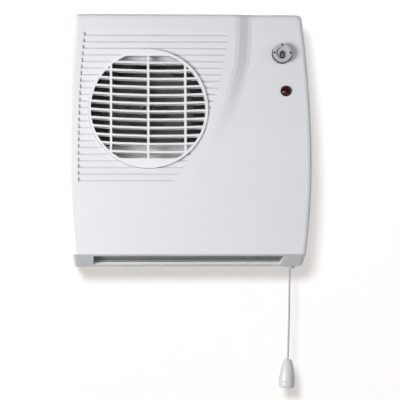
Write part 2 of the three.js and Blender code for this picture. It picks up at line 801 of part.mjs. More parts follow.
function intakeGrille() {
  const disc = pin(0, 0, GRILLE_RADIUS, -GRILLE_PROUD, GRILLE_DEPTH - GRILLE_PROUD, 48);
  const opening = frontExtrude(
    shapeOf(truncatedCircle(GRILLE_OPENING_RADIUS, GRILLE_OPENING_TOP, GRILLE_OPENING_BOTTOM, 48)),
    -THROUGH,
    THROUGH,
  );
  const pieces = [];
  const pitch = (SLAT_TOP - SLAT_BOTTOM) / (SLAT_COUNT - 1);
  const back = SLAT_DEPTH - GRILLE_PROUD;
  for (let index = 0; index < SLAT_COUNT; index += 1) {
    const middle = SLAT_TOP - index * pitch;
    const upper = [];
    const lower = [];
    for (let station = 0; station <= SLAT_STATIONS; station += 1) {
      const x = GRILLE_RADIUS * ((2 * station) / SLAT_STATIONS - 1);
      const rise = SLAT_BOW * (x - SLAT_BOW_CENTRE) ** 2;
      upper.push([x, middle + rise + SLAT_THICKNESS / 2]);
      lower.unshift([x, middle + rise - SLAT_THICKNESS / 2]);
    }
    const slat = frontExtrude(shapeOf([...upper, ...lower].reverse()), -GRILLE_PROUD, back);
    const fall = SLAT_FALL * GRILLE_PROUD;
    slat.applyMatrix4(new THREE.Matrix4().set(1, 0, 0, 0, 0, 1, 0, 0, 0, -SLAT_FALL, 1, -fall, 0, 0, 0, 1));
    pieces.push(slat);
  }
  for (const x of [-BAR_SPACING, 0, BAR_SPACING]) {
    const reach = GRILLE_OPENING_TOP + GRILLE_RIM;
    pieces.push(block(x - BAR_WIDTH / 2, x + BAR_WIDTH / 2, -GRILLE_PROUD, back, -reach, reach));
  }
  const bars = common(join(...pieces), bore(0, 0, GRILLE_OPENING_RADIUS + GRILLE_RIM / 2, 48));
  return grillePlaced(join(cut(disc, opening), bars));
}

// ---------- fan housing ----------
function scrollPath() {
  const duct = HEATER_HALF_WIDTH - DUCT_INSET;
  const points = [
    [-duct, HEATER_TOP + FIT],
    [-duct, HEATER_TOP + DUCT_NECK],
  ];
  for (let angle = SCROLL_SWEEP; angle >= 0; angle -= SCROLL_SWEEP / 20) {
    const radius = SCROLL_START_RADIUS + SCROLL_GROWTH * (1 - angle / SCROLL_SWEEP);
    const turn = THREE.MathUtils.degToRad(angle);
    points.push([INTAKE_X + radius * Math.cos(turn), INTAKE_Z + radius * Math.sin(turn)]);
  }
  const right = INTAKE_X + SCROLL_END_RADIUS;
  points.push([right, INTAKE_Z - 30]);
  points.push([right + 5, INTAKE_Z - 46]);
  points.push([duct, HEATER_TOP + DUCT_NECK]);
  points.push([duct, HEATER_TOP + FIT]);
  return points;
}

// the same path moved to its left-hand side
function movedLeft(path, distance) {
  return path.map(([x, z], index) => {
    const before = path[Math.max(index - 1, 0)];
    const after = path[Math.min(index + 1, path.length - 1)];
    const arriving = new THREE.Vector2(x - before[0], z - before[1]);
    const leaving = new THREE.Vector2(after[0] - x, after[1] - z);
    const first = index === 0 ? leaving : arriving;
    const second = index === path.length - 1 ? arriving : leaving;
    first.normalize();
    second.normalize();
    const sideways = new THREE.Vector2(-first.y - second.y, first.x + second.x).normalize();
    const stretch = Math.max(-sideways.x * first.y + sideways.y * first.x, 0.4);
    return [x + (sideways.x * distance) / stretch, z + (sideways.y * distance) / stretch];
  });
}

function fanScroll() {
  const inner = scrollPath();
  const outer = movedLeft(inner, SCROLL_WALL);
  const wallShape = shapeOf([...inner, ...[...outer].reverse()]);
  const strip = frontExtrude(wallShape, SCROLL_FRONT_Y + FIT, SCROLL_BACK_Y);
  const plate = frontExtrude(shapeOf(outer), SCROLL_BACK_Y - SCROLL_LAP, SCROLL_BACK_Y + SCROLL_PLATE);
  const shaftHole = bore(INTAKE_X, INTAKE_Z, HUB_RADIUS, 20);
  const screwHoles = scrollScrewPlaces().map(([x, z]) => bore(x, z, SCROLL_SCREW_RADIUS + 0.4, 10));
  return cut(join(strip, plate), shaftHole, ...screwHoles);
}

function scrollScrewPlaces() {
  return [45, 135, 225].map((angle) => {
    const turn = THREE.MathUtils.degToRad(angle);
    return [
      INTAKE_X + SCROLL_SCREW_CIRCLE * Math.cos(turn),
      INTAKE_Z + SCROLL_SCREW_CIRCLE * Math.sin(turn),
    ];
  });
}

function fanShroud() {
  const outline = movedLeft(scrollPath(), SCROLL_WALL);
  const plate = frontExtrude(shapeOf(outline), SCROLL_FRONT_Y - SCROLL_PLATE, SCROLL_FRONT_Y);
  const window = frontExtrude(
    shapeOf(truncatedCircle(SCROLL_START_RADIUS, INLET_WINDOW_TOP, INLET_WINDOW_BOTTOM, 32)),
    -THROUGH,
    THROUGH,
  );
  window.translate(INTAKE_X, 0, INTAKE_Z);
  return cut(plate, window);
}

function inletRing() {
  const front = SCROLL_FRONT_Y + FIT;
  const back = front + INLET_PLATE;
  const outer = SCROLL_START_RADIUS - INLET_EDGE_CLEARANCE;
  const inner = IMPELLER_EYE_RADIUS + INLET_EYE_CLEARANCE;
  const ring = turned([
    [inner, front],
    [inner, back],
    [outer, back],
    [outer, front],
    [inner, front],
  ], 32);
  ring.translate(INTAKE_X, 0, INTAKE_Z);
  return ring;
}

function bladeOutline(turn) {
  const stations = 2;
  const front = [];
  const back = [];
  for (let station = 0; station <= stations; station += 1) {
    const share = station / stations;
    const radius = IMPELLER_EYE_RADIUS + share * (IMPELLER_RADIUS - FIT - IMPELLER_EYE_RADIUS);
    const lean = -BLADE_LEAN * share * share;
    const half = BLADE_THICKNESS / 2 / radius;
    front.push([radius * Math.cos(turn + lean + half), radius * Math.sin(turn + lean + half)]);
    back.push([radius * Math.cos(turn + lean - half), radius * Math.sin(turn + lean - half)]);
  }
  return [...back, ...front.reverse()];
}

function impeller() {
  const hubFront = IMPELLER_BACK_Y - HUB_LENGTH;
  const discFront = IMPELLER_BACK_Y - IMPELLER_DISC;
  const rimInner = IMPELLER_RADIUS - IMPELLER_RIM_WIDTH;
  const rimBack = IMPELLER_FRONT_Y + IMPELLER_RIM_THICKNESS;
  const disc = turned([
    [SHAFT_RADIUS + FIT, IMPELLER_BACK_Y],
    [IMPELLER_RADIUS, IMPELLER_BACK_Y],
    [IMPELLER_RADIUS, discFront],
    [2.5 * HUB_RADIUS, discFront],
    [HUB_RADIUS, (discFront + hubFront) / 2],
    [HUB_RADIUS - 1, hubFront],
    [SHAFT_RADIUS + FIT, hubFront],
    [SHAFT_RADIUS + FIT, IMPELLER_BACK_Y],
  ], 24);
  const rim = turned([
    [rimInner, IMPELLER_FRONT_Y],
    [IMPELLER_RADIUS, IMPELLER_FRONT_Y],
    [IMPELLER_RADIUS, rimBack],
    [rimInner, rimBack],
    [rimInner, IMPELLER_FRONT_Y],
  ], 24);
  const pieces = [disc, rim];
  for (let index = 0; index < BLADE_COUNT; index += 1) {
    const turn = (index / BLADE_COUNT) * Math.PI * 2;
    const outline = shapeOf(bladeOutline(turn));
    const front = IMPELLER_FRONT_Y + IMPELLER_RIM_THICKNESS / 3;
    pieces.push(frontExtrude(outline, front, IMPELLER_BACK_Y - IMPELLER_DISC / 2));
  }
  const wheel = join(...pieces);
  wheel.translate(INTAKE_X, 0, INTAKE_Z);
  return wheel;
}

function impellerNut() {
  const seat = IMPELLER_BACK_Y - HUB_LENGTH - FIT;
  const nut = pin(INTAKE_X, INTAKE_Z, NUT_RADIUS, seat - NUT_THICKNESS, seat, 6);
  return cut(nut, bore(INTAKE_X, INTAKE_Z, SHAFT_RADIUS + FIT, 16));
}

// ---------- motor ----------
function motorShaft() {
  const front = IMPELLER_BACK_Y - HUB_LENGTH - FIT - NUT_THICKNESS - SHAFT_RADIUS;
  return pin(INTAKE_X, INTAKE_Z, SHAFT_RADIUS, front, STACK_BACK_Y + BEARING_FAR + FIT, 16);
}

function motorRotor() {
  const front = STACK_FRONT_Y - ROTOR_GAP;
  const back = STACK_BACK_Y + ROTOR_GAP;
  const rotor = pin(INTAKE_X, INTAKE_Z, ROTOR_RADIUS, front, back, 28);
  return cut(rotor, bore(INTAKE_X, INTAKE_Z, SHAFT_RADIUS + FIT, 16));
}

function motorBoltHole(side, segments) {
  return bore(INTAKE_X + side * MOTOR_BOLT_OFFSET, INTAKE_Z, MOTOR_BOLT_RADIUS + FIT, segments);
}

function motorStator() {
  const stack = block(
    INTAKE_X - STACK_HALF_WIDTH,
    INTAKE_X + STACK_HALF_WIDTH,
    STACK_FRONT_Y,
    STACK_BACK_Y,
    INTAKE_Z + STACK_BOTTOM,
    INTAKE_Z + STACK_TOP,
  );
  const window = block(
    INTAKE_X - WINDOW_HALF_WIDTH,
    INTAKE_X + WINDOW_HALF_WIDTH,
    -THROUGH,
    THROUGH,
    INTAKE_Z + WINDOW_BOTTOM,
    INTAKE_Z + WINDOW_TOP,
  );
  const rotorBore = bore(INTAKE_X, INTAKE_Z, ROTOR_RADIUS + ROTOR_GAP, 28);
  return cut(stack, rotorBore, window, ...onBothSides((side) => motorBoltHole(side, 12)));
}

// a block around the lower limb of the stator, `gap` away from it and `wall` thick
function limbSleeve(halfLength, gap, wall) {
  const yMin = STACK_FRONT_Y - gap;
  const yMax = STACK_BACK_Y + gap;
  const zMin = INTAKE_Z + STACK_BOTTOM - gap;
  const zMax = INTAKE_Z + WINDOW_BOTTOM + gap;
  const outer = block(
    INTAKE_X - halfLength,
    INTAKE_X + halfLength,
    yMin - wall,
    yMax + wall,
    zMin - wall,
    zMax + wall,
  );
  return cut(outer, block(-THROUGH, THROUGH, yMin, yMax, zMin, zMax));
}

function coilBobbin() {
  const halfLength = WINDOW_HALF_WIDTH - 0.5;
  const inside = halfLength - BOBBIN_FLANGE;
  const between = block(INTAKE_X - inside, INTAKE_X + inside, -THROUGH, THROUGH, -THROUGH, THROUGH);
  const ends = cut(limbSleeve(halfLength, FIT, BOBBIN_FLANGE_RISE), between);
  return join(limbSleeve(halfLength, FIT, BOBBIN_WALL), ends);
}

function motorCoil() {
  const halfLength = WINDOW_HALF_WIDTH - 0.5 - BOBBIN_FLANGE - FIT;
  return limbSleeve(halfLength, FIT + BOBBIN_WALL + FIT, COIL_THICKNESS);
}

function bearingBracket(isFront) {
  const toward = isFront ? -1 : 1;
  const stackFace = isFront ? STACK_FRONT_Y : STACK_BACK_Y;
  const span = (near, far) => {
    const first = stackFace + toward * near;
    const second = stackFace + toward * far;
    return [Math.min(first, second), Math.max(first, second)];
  };
  const [strapFront, strapBack] = span(BRACKET_STANDOFF, BRACKET_STANDOFF + BRACKET_THICKNESS);
  const [footFront, footBack] = span(FIT, BRACKET_STANDOFF + 0.2);
  const [cupFront, cupBack] = span(BEARING_NEAR, BEARING_FAR);
  const reach = MOTOR_BOLT_OFFSET + BRACKET_END;
  const strap = block(
    INTAKE_X - reach,
    INTAKE_X + reach,
    strapFront,
    strapBack,
    INTAKE_Z - BRACKET_HALF_HEIGHT,
    INTAKE_Z + BRACKET_HALF_HEIGHT,
  );
  const cup = pin(INTAKE_X, INTAKE_Z, BEARING_RADIUS, cupFront, cupBack, 14);
  const feet = onBothSides((side) => (
    pin(INTAKE_X + side * MOTOR_BOLT_OFFSET, INTAKE_Z, BRACKET_END, footFront, footBack, 8)
  ));
  const shaftBore = bore(INTAKE_X, INTAKE_Z, SHAFT_RADIUS + FIT, 12);
  return cut(join(strap, cup, ...feet), shaftBore, ...onBothSides((side) => motorBoltHole(side, 8)));
}

function motorBolt(side) {
  const x = INTAKE_X + side * MOTOR_BOLT_OFFSET;
  const seat = STACK_FRONT_Y - BRACKET_STANDOFF - BRACKET_THICKNESS - FIT;
  const headFront = seat - MOTOR_BOLT_HEAD;
  return join(
    pin(x, INTAKE_Z, MOTOR_BOLT_HEAD_RADIUS, headFront, seat, 6),
    pin(x, INTAKE_Z, MOTOR_BOLT_RADIUS, seat - 0.5, -PANEL_THICKNESS - 2, 12),
  );
}

// ---------- heater ----------
function heaterFrame() {
  const outer = block(
    -HEATER_HALF_WIDTH,
    HEATER_HALF_WIDTH,
    HEATER_FRONT_Y,
    HEATER_BACK_Y,
    HEATER_BOTTOM,
    HEATER_TOP,
  );
  const inner = block(
    -HEATER_HALF_WIDTH + SHEET,
    HEATER_HALF_WIDTH - SHEET,
    HEATER_FRONT_Y + SHEET,
    HEATER_BACK_Y - SHEET,
    -THROUGH,
    THROUGH,
  );
  return cut(outer, inner);
}

function elementRunY(run) {
  const middle = (HEATER_FRONT_Y + HEATER_BACK_Y) / 2;
  return middle + (run - (ELEMENT_RUNS - 1) / 2) * ELEMENT_PITCH;
}

function heatingElement(height) {
  const stations = [];
  for (let run = 0; run < ELEMENT_RUNS; run += 1) {
    const side = run % 2 === 0 ? 1 : -1;
    const y = elementRunY(run);
    stations.push(spot(-side * ELEMENT_HALF_LENGTH, y, height));
    stations.push(spot(side * ELEMENT_HALF_LENGTH, y, height));
    if (run < ELEMENT_RUNS - 1) {
      const half = ELEMENT_PITCH / 2;
      for (const degrees of [45, 90, 135]) {
        const turn = THREE.MathUtils.degToRad(degrees);
        const x = side * (ELEMENT_HALF_LENGTH + half * Math.sin(turn));
        stations.push(spot(x, y + half - half * Math.cos(turn), height));
      }
    }
  }
  return roundBarAlong(stations, ELEMENT_RADIUS, 6);
}

function micaBoard(x) {
  const board = block(
    x - BOARD_THICKNESS / 2,
    x + BOARD_THICKNESS / 2,
    HEATER_FRONT_Y + SHEET + FIT,
    HEATER_BACK_Y - SHEET - FIT,
    HEATER_BOTTOM + BOARD_EDGE,
    HEATER_TOP - BOARD_EDGE,
  );
  const holes = [];
  for (let run = 0; run < ELEMENT_RUNS; run += 1) {
    for (const height of [ELEMENT_UPPER_Z, ELEMENT_LOWER_Z]) {
      const radius = ELEMENT_RADIUS + BOARD_HOLE_CLEARANCE;
      const hole = new THREE.CylinderGeometry(radius, radius, 6 * BOARD_THICKNESS, 6);
      hole.rotateZ(Math.PI / 2);
      hole.translate(x, elementRunY(run), height);
      holes.push(hole);
    }
  }
  return cut(board, ...holes);
}

function heaterTerminal(y) {
  const side = HEATER_HALF_WIDTH + FIT;
  const end = HEATER_HALF_WIDTH + TAB_LENGTH;
  const front = y - TAB_HALF_WIDTH;
  const back = y + TAB_HALF_WIDTH;
  const under = TAB_Z - TAB_THICKNESS / 2;
  const over = TAB_Z + TAB_THICKNESS / 2;
  const tab = block(side, end, front, back, under, over);
  const foot = block(side, side + TAB_THICKNESS + 0.2, front, back, over - TAB_FOOT, over);
  const hole = post(end - 2.6 * TAB_HOLE_RADIUS, y, TAB_HOLE_RADIUS, under - 1, over + 1, 8);
  return cut(join(tab, foot), hole);
}

function thermalCutout() {
  const back = HEATER_FRONT_Y - FIT;
  const canFront = back - CUTOUT_CAN_HEIGHT;
  const tabs = onBothSides((side) => {
    const x = CUTOUT_X + side * CUTOUT_TAB_OFFSET;
    const half = TAB_THICKNESS;
    return block(x - half, x + half, canFront - 2.5, canFront + 1, CUTOUT_Z - 1.5, CUTOUT_Z + 1.5);
  });
  const earLeft = CUTOUT_X - CUTOUT_EAR_REACH;
  const earRight = CUTOUT_X + CUTOUT_EAR_REACH;
  return join(
    pin(CUTOUT_X, CUTOUT_Z, CUTOUT_FLANGE_RADIUS, back - 1.4, back, 20),
    pin(CUTOUT_X, CUTOUT_Z, CUTOUT_CAN_RADIUS, canFront, back - 1, 20),
    block(earLeft, earRight, back - 1.2, back, CUTOUT_Z - 3, CUTOUT_Z + 3),
    ...tabs,
  );
}

// ---------- outlet ----------
function outletGrille() {
  const across = slotWidth() / 2;
  const up = slotLength() / 2;
  const near = COVER_WALL + FIT;
  const rim = cut(
    block(-across - OUTLET_LAP, across + OUTLET_LAP, near, near + OUTLET_RIM_THICKNESS, -up - 0.8, up + 2.6),
    block(-across + 1, across - SLOT_RIGHT_SLANT + 0.5, -THROUGH, THROUGH, -up + 2.2, up - 0.6),
  );
  const bars = OUTLET_BAR_PLACES.map((height) => block(
    -across - OUTLET_LAP / 2,
    across + OUTLET_LAP / 2,
    near + OUTLET_RIM_THICKNESS / 3,
    near + OUTLET_DEPTH,
    height - OUTLET_BAR / 2,
    height + OUTLET_BAR / 2,
  ));
  const fins = OUTLET_FIN_PLACES.map((x) => block(
    x - OUTLET_FIN / 2,
    x + OUTLET_FIN / 2,
    near + OUTLET_FIN_SETBACK,
    near + OUTLET_DEPTH,
    -up + 0.9,
    up - 0.3,
  ));
  return onBand(join(rim, ...bars, ...fins));
}

// ---------- controls ----------
function ringOutline(outerAcross, outerUp, innerAcross, innerUp, steps) {
  const oval = (across, up) => {
    const points = [];
    for (let step = 0; step < steps; step += 1) {
      const turn = (step / steps) * Math.PI * 2;
      points.push([across * Math.cos(turn), up * Math.sin(turn)]);
    }
    return points;
  };
  const shape = shapeOf(oval(outerAcross, outerUp));
  const hole = new THREE.Path();
  oval(innerAcross, innerUp).forEach(([x, z], index) => {
    if (index === 0) {
      hole.moveTo(x, z);
    } else {
      hole.lineTo(x, z);
    }
  });
  hole.closePath();
  shape.holes.push(hole);
  return shape;
}

function selectorDial() {
  const face = -DIAL_PROUD;
  const floor = face + DIAL_WELL_DEPTH;
  const body = turned([
    [0, floor],
    [DIAL_WELL_RADIUS, floor],
    [DIAL_WELL_RADIUS, face],
    [DIAL_RADIUS - DIAL_TAPER - DIAL_BEVEL, face],
    [DIAL_RADIUS - DIAL_TAPER, face + DIAL_BEVEL],
    [DIAL_RADIUS, 0],
    [DIAL_RADIUS, DIAL_BACK],
    [0, DIAL_BACK],
  ], 28);
  const spindle = pin(0, 0, SPINDLE_RADIUS, DIAL_BACK - 1, SPINDLE_LENGTH, 16);
  const digitOutline = ringOutline(
    DIGIT_HALF_WIDTH,
    DIGIT_HALF_HEIGHT,
    DIGIT_HALF_WIDTH - DIGIT_STROKE,
    DIGIT_HALF_HEIGHT - DIGIT_STROKE,
    12,
  );
  const digit = frontExtrude(digitOutline, floor - DIAL_RELIEF, floor + DIAL_RELIEF);
  digit.translate(-DIGIT_LEFT, 0, -DIGIT_DROP);
  const marks = [0, 90, 180].map((degrees) => {
    const half = DIAL_MARK_WIDTH / 2;
    const low = face - DIAL_RELIEF;
    const mark = block(-half, half, low, face + DIAL_RELIEF, DIAL_MARK_INNER, DIAL_MARK_OUTER);
    mark.rotateY(THREE.MathUtils.degToRad(degrees - 90));
    return mark;
  });
  return onFace(join(body, spindle, digit, ...marks), DIAL_X, DIAL_Z, 0);
}

function switchBody() {
  const nose = SWITCH_NOSE_HALF;
  const inside = SWITCH_BACK_Y - 1;
  const half = SWITCH_HALF;
  const leverBack = CORD_Y + LEVER_BOSS_HALF_THICKNESS;
  const spindleHole = pin(0, 0, SPINDLE_RADIUS + FIT, -SPINDLE_LENGTH / 3, SPINDLE_LENGTH + 2, 16);
  return cut(
    join(
      block(DIAL_X - half, DIAL_X + half, SWITCH_FRONT_Y, SWITCH_BACK_Y, DIAL_Z - half, DIAL_Z + half),
      block(
        DIAL_X - nose,
        DIAL_X + nose,
        SWITCH_FRONT_Y - SWITCH_NOSE,
        SWITCH_FRONT_Y + 1,
        DIAL_Z - nose,
        DIAL_Z + SWITCH_NOSE_TOP,
      ),
      pin(CORD_X - LEVER_LENGTH, LEVER_Z, PIVOT_RADIUS, inside, leverBack + 1.5, 12),
      block(
        SPRING_X - SPRING_RADIUS - 1,
        SPRING_X + SPRING_RADIUS + 1,
        inside,
        CORD_Y + SPRING_RADIUS + 1,
        LEDGE_Z,
        LEDGE_Z + LEDGE_THICKNESS,
      ),
      block(
        SWITCH_FOOT_X - 2.5,
        SWITCH_FOOT_X + 2.5,
        inside,
        SWITCH_BACK_Y + SWITCH_FOOT_LENGTH,
        SWITCH_FOOT_Z - 3,
        SWITCH_FOOT_Z + 3,
      ),
    ),
    onFace(spindleHole, DIAL_X, DIAL_Z, 0),
  );
}

function switchLever() {
  const pivotX = CORD_X - LEVER_LENGTH;
  const thick = LEVER_HALF_THICKNESS;
  const bossThick = LEVER_BOSS_HALF_THICKNESS;
  const high = LEVER_Z + LEVER_HALF_HEIGHT;
  const low = LEVER_Z - LEVER_HALF_HEIGHT;
  return cut(
    join(
      pin(pivotX, LEVER_Z, LEVER_BOSS_RADIUS, CORD_Y - bossThick, CORD_Y + bossThick, 16),
      block(pivotX, CORD_X + LEVER_TIP, CORD_Y - thick, CORD_Y + thick, low, high),
    ),
    bore(pivotX, LEVER_Z, PIVOT_RADIUS + FIT, 12),
  );
}

function returnSpring() {
  const stations = [];
  const perTurn = 7;
  const count = SPRING_TURNS * perTurn;
  const low = LEVER_Z + LEVER_HALF_HEIGHT + FIT + SPRING_WIRE;
  const high = LEDGE_Z - FIT - SPRING_WIRE;
  for (let step = 0; step <= count; step += 1) {
    const turn = (step / perTurn) * Math.PI * 2;
    const z = low + (high - low) * (step / count);
    const x = SPRING_X + SPRING_RADIUS * Math.cos(turn);
    stations.push(spot(x, CORD_Y + SPRING_RADIUS * Math.sin(turn), z));
  }
  return roundBarAlong(stations, SPRING_WIRE, 4);
}

// how far the free cord has bowed to the left, a given distance below its bush
function cordBow(below) {
  return -CORD_LEAN * (below / CORD_VISIBLE) ** 2;
}

function cordEndTilt() {
  return Math.atan((2 * CORD_LEAN) / CORD_VISIBLE);
}

function innerCord() {
  return roundBarAlong([
    spot(CORD_X, CORD_Y, LEVER_Z - LEVER_HALF_HEIGHT - FIT),
    spot(CORD_X, CORD_Y, (LEVER_Z + BUSH_FACE) / 2),
    spot(CORD_X, CORD_Y, BUSH_FACE),
  ], CORD_RADIUS, 8);
}

function pullCord() {
  const stations = [];
  for (let step = 0; step <= CORD_STEPS; step += 1) {
    const below = FIT + (CORD_VISIBLE - 2 * FIT) * (step / CORD_STEPS);
    stations.push(spot(CORD_X + cordBow(below), CORD_Y, BUSH_FACE - below));
  }
  return roundBarAlong(stations, CORD_RADIUS, 8);
}

function cordBush() {
  const boreRadius = CORD_RADIUS + BUSH_BORE_CLEARANCE;
  const seat = CASE_BOTTOM - FIT;
  const bush = turned([
    [boreRadius, BUSH_FACE],
    [BUSH_FLANGE_RADIUS - BUSH_CHAMFER, BUSH_FACE],
    [BUSH_FLANGE_RADIUS, BUSH_FACE + BUSH_CHAMFER],
    [BUSH_FLANGE_RADIUS, seat],
    [BUSH_RADIUS, seat],
    [BUSH_RADIUS, CASE_BOTTOM + BUSH_RISE],
    [boreRadius, CASE_BOTTOM + BUSH_RISE],
    [boreRadius, BUSH_FACE],
  ], 20);
  bush.rotateX(Math.PI / 2);
  return bush.translate(CORD_X, CORD_Y, 0);
}

function pullKnob() {
  const knob = turned([
    [0, 0],
    [3.6, 0],
    [4.2, 1.2],
    [5.2, 8],
    [6.9, 18],
    [KNOB_RADIUS, 23.2],
    [KNOB_RADIUS, 25.6],
    [7.4, 28],
    [5.4, 29.2],
    [0, KNOB_LENGTH],
  ].map(([radius, down]) => [radius, -down]), 20);
  knob.rotateX(Math.PI / 2);
  knob.rotateY(cordEndTilt());
  return knob.translate(CORD_X + cordBow(CORD_VISIBLE), CORD_Y, KNOB_TOP);
}

function neonLens() {
  const lipFront = LENS_LIP_BACK - LENS_LIP;
  const lens = turned([
    [0, -LENS_DOME],
    [2.6, -0.93 * LENS_DOME],
    [4.3, -0.68 * LENS_DOME],
    [5.1, -0.3 * LENS_DOME],
    [LENS_RADIUS, 0.8],
    [LENS_RADIUS, lipFront],
    [LENS_LIP_RADIUS, lipFront],
    [LENS_LIP_RADIUS, LENS_LIP_BACK],
    [0, LENS_LIP_BACK],
  ], 24);
  return onFace(lens, LENS_X, LENS_Z, 0);
}

function lampHolder() {
  const front = LENS_LIP_BACK + FIT;
  const back = front + LAMP_LENGTH;
  const floor = back - LAMP_FLOOR;
  const holder = turned([
    [LAMP_BORE_RADIUS, front],
    [LAMP_RADIUS, front],
    [LAMP_RADIUS, back],
    [0, back],
    [0, floor],
    [LAMP_BORE_RADIUS, floor],
    [LAMP_BORE_RADIUS, front],
  ], 20);
  return onFace(holder, LENS_X, LENS_Z, 0);
}

function neonBulb() {
  const back = LENS_LIP_BACK + FIT + LAMP_LENGTH - LAMP_FLOOR - FIT;
  const front = back - BULB_LENGTH;
  const bulb = turned([
    [0, front],
    [0.55 * BULB_RADIUS, front + 0.4],
    [0.87 * BULB_RADIUS, front + 1.4],
    [BULB_RADIUS, front + 2.8],
    [BULB_RADIUS, back],
    [0, back],
  ], 14);
  return onFace(bulb, LENS_X, LENS_Z, 0);
}

// ---------- mains side ----------
function terminalHeights() {
  return [TERMINAL_Z + TERMINAL_PITCH, TERMINAL_Z, TERMINAL_Z - TERMINAL_PITCH];
}

function terminalBlock() {
  const body = block(
    TERMINAL_X - TERMINAL_HALF_WIDTH,
    TERMINAL_X + TERMINAL_HALF_WIDTH,
    TERMINAL_FRONT_Y,
    -PANEL_THICKNESS - FIT,
    TERMINAL_Z - TERMINAL_HALF_HEIGHT,
    TERMINAL_Z + TERMINAL_HALF_HEIGHT,
  );
  const front = TERMINAL_FRONT_Y - 1;
  const floor = TERMINAL_FRONT_Y + TERMINAL_WELL_DEPTH;
  const half = WIRE_WAY_HALF;
  const wells = terminalHeights().flatMap((z) => [
    pin(TERMINAL_X, z, TERMINAL_WELL_RADIUS, front, floor, 12),
    block(-THROUGH, THROUGH, WIRE_WAY_Y - half, WIRE_WAY_Y + half, z - half, z + half),
  ]);
  return cut(body, ...wells);
}

function terminalScrew(z) {
  const front = TERMINAL_FRONT_Y + TERMINAL_SCREW_SUNK;
  const back = front + TERMINAL_SCREW_LENGTH;
  const screw = pin(TERMINAL_X, z, TERMINAL_SCREW_RADIUS, front, back, 12);
  return cut(screw, block(-THROUGH, THROUGH, front - 1, front + 0.9, z - 0.4, z + 0.4));
}

function cableGrommet() {
  const seat = -PANEL_THICKNESS - FIT;
  const grommet = turned([
    [GROMMET_BORE_RADIUS, -FIT],
    [CABLE_RADIUS - FIT, -FIT],
    [CABLE_RADIUS - FIT, seat],
    [CABLE_RADIUS + GROMMET_LIP, seat],
    [CABLE_RADIUS + 0.7 * GROMMET_LIP, seat - 2.3],
    [GROMMET_BORE_RADIUS + 0.4, -PANEL_THICKNESS - GROMMET_PROUD],
    [GROMMET_BORE_RADIUS, -FIT],
  ], 24);
  return grommet.translate(CABLE_X, 0, CABLE_Z);
}

function clampScrewPlace(side) {
  return CABLE_X + side * CLAMP_SCREW_OFFSET;
}

function cordClamp() {
  const bar = block(
    CABLE_X - CLAMP_HALF_WIDTH,
    CABLE_X + CLAMP_HALF_WIDTH,
    CLAMP_BACK_Y - CLAMP_THICKNESS,
    CLAMP_BACK_Y,
    CLAMP_Z - CLAMP_HALF_HEIGHT,
    CLAMP_Z + CLAMP_HALF_HEIGHT,
  );
  const archCentre = CLAMP_BACK_Y + CLAMP_ARCH_RADIUS - CLAMP_ARCH_DEPTH;
  const archEnds = 2 * CLAMP_HALF_HEIGHT;
  const arch = post(CABLE_X, archCentre, CLAMP_ARCH_RADIUS, CLAMP_Z - archEnds, CLAMP_Z + archEnds);
  const holes = onBothSides((side) => bore(clampScrewPlace(side), CLAMP_Z, SCREW_RADIUS + FIT, 10));
  return cut(bar, arch, ...holes);
}

function clampScrew(side) {
  const x = clampScrewPlace(side);
  const seat = CLAMP_BACK_Y - CLAMP_THICKNESS - FIT;
  const tip = seat + CLAMP_SCREW_LENGTH;
  return join(
    pin(x, CLAMP_Z, CLAMP_SCREW_HEAD_RADIUS, seat - CLAMP_SCREW_HEAD, seat, 12),
    pin(x, CLAMP_Z, SCREW_RADIUS, seat - 0.3, tip, 10),
  );
}

function coverScrew(side) {
  const x = side * COVER_SCREW_X;
  const seat = CASE_BOTTOM - FIT;
  return join(
    post(x, COVER_SCREW_Y, SCREW_HEAD_RADIUS, seat - SCREW_HEAD, seat, 14),
    post(x, COVER_SCREW_Y, SCREW_RADIUS, seat - 0.5, CASE_BOTTOM + COVER_BLOCK_RISE - 0.5, 10),
  );
}

function scrollScrew([x, z]) {
  const seat = SCROLL_BACK_Y - SCROLL_LAP - FIT;
  return join(
    pin(x, z, SCROLL_SCREW_HEAD_RADIUS, seat - SCREW_HEAD, seat, 12),
    pin(x, z, SCROLL_SCREW_RADIUS, seat - 0.5, seat + SCROLL_SCREW_LENGTH, 8),
  );
}

// ---------- rear panel ----------
function panelOutline(offset) {
  const right = [];
  const low = CASE_BOTTOM + offset;
  const high = CASE_TOP - offset;
  const steps = 10;
  right.push([halfWidth(low) - offset - PANEL_CORNER, low]);
  for (let step = 0; step <= steps; step += 1) {
    const height = low + PANEL_CORNER + ((high - low - 2 * PANEL_CORNER) * step) / steps;
    right.push([halfWidth(height) - offset, height]);
  }
  right.push([halfWidth(high) - offset - PANEL_CORNER, high]);
  const left = right.map(([x, z]) => [-x, z]).reverse();
  return shapeOf([...right, ...left]);
}

function keyhole(x, z) {
  const slot = KEYHOLE_SLOT_RADIUS;
  return join(
    bore(x, z, KEYHOLE_HEAD_RADIUS, 12),
    block(x - slot, x + slot, -THROUGH, THROUGH, z, z + KEYHOLE_RISE),
    bore(x, z + KEYHOLE_RISE, slot, 8),
  );
}

function coverScrewBlock(side) {
  const x = side * COVER_SCREW_X;
  return block(
    x - COVER_BLOCK_HALF,
    x + COVER_BLOCK_HALF,
    COVER_SCREW_Y - COVER_BLOCK_HALF,
    -PANEL_THICKNESS + 0.5,
    CASE_BOTTOM + PANEL_OFFSET,
    CASE_BOTTOM + COVER_BLOCK_RISE,
  );
}

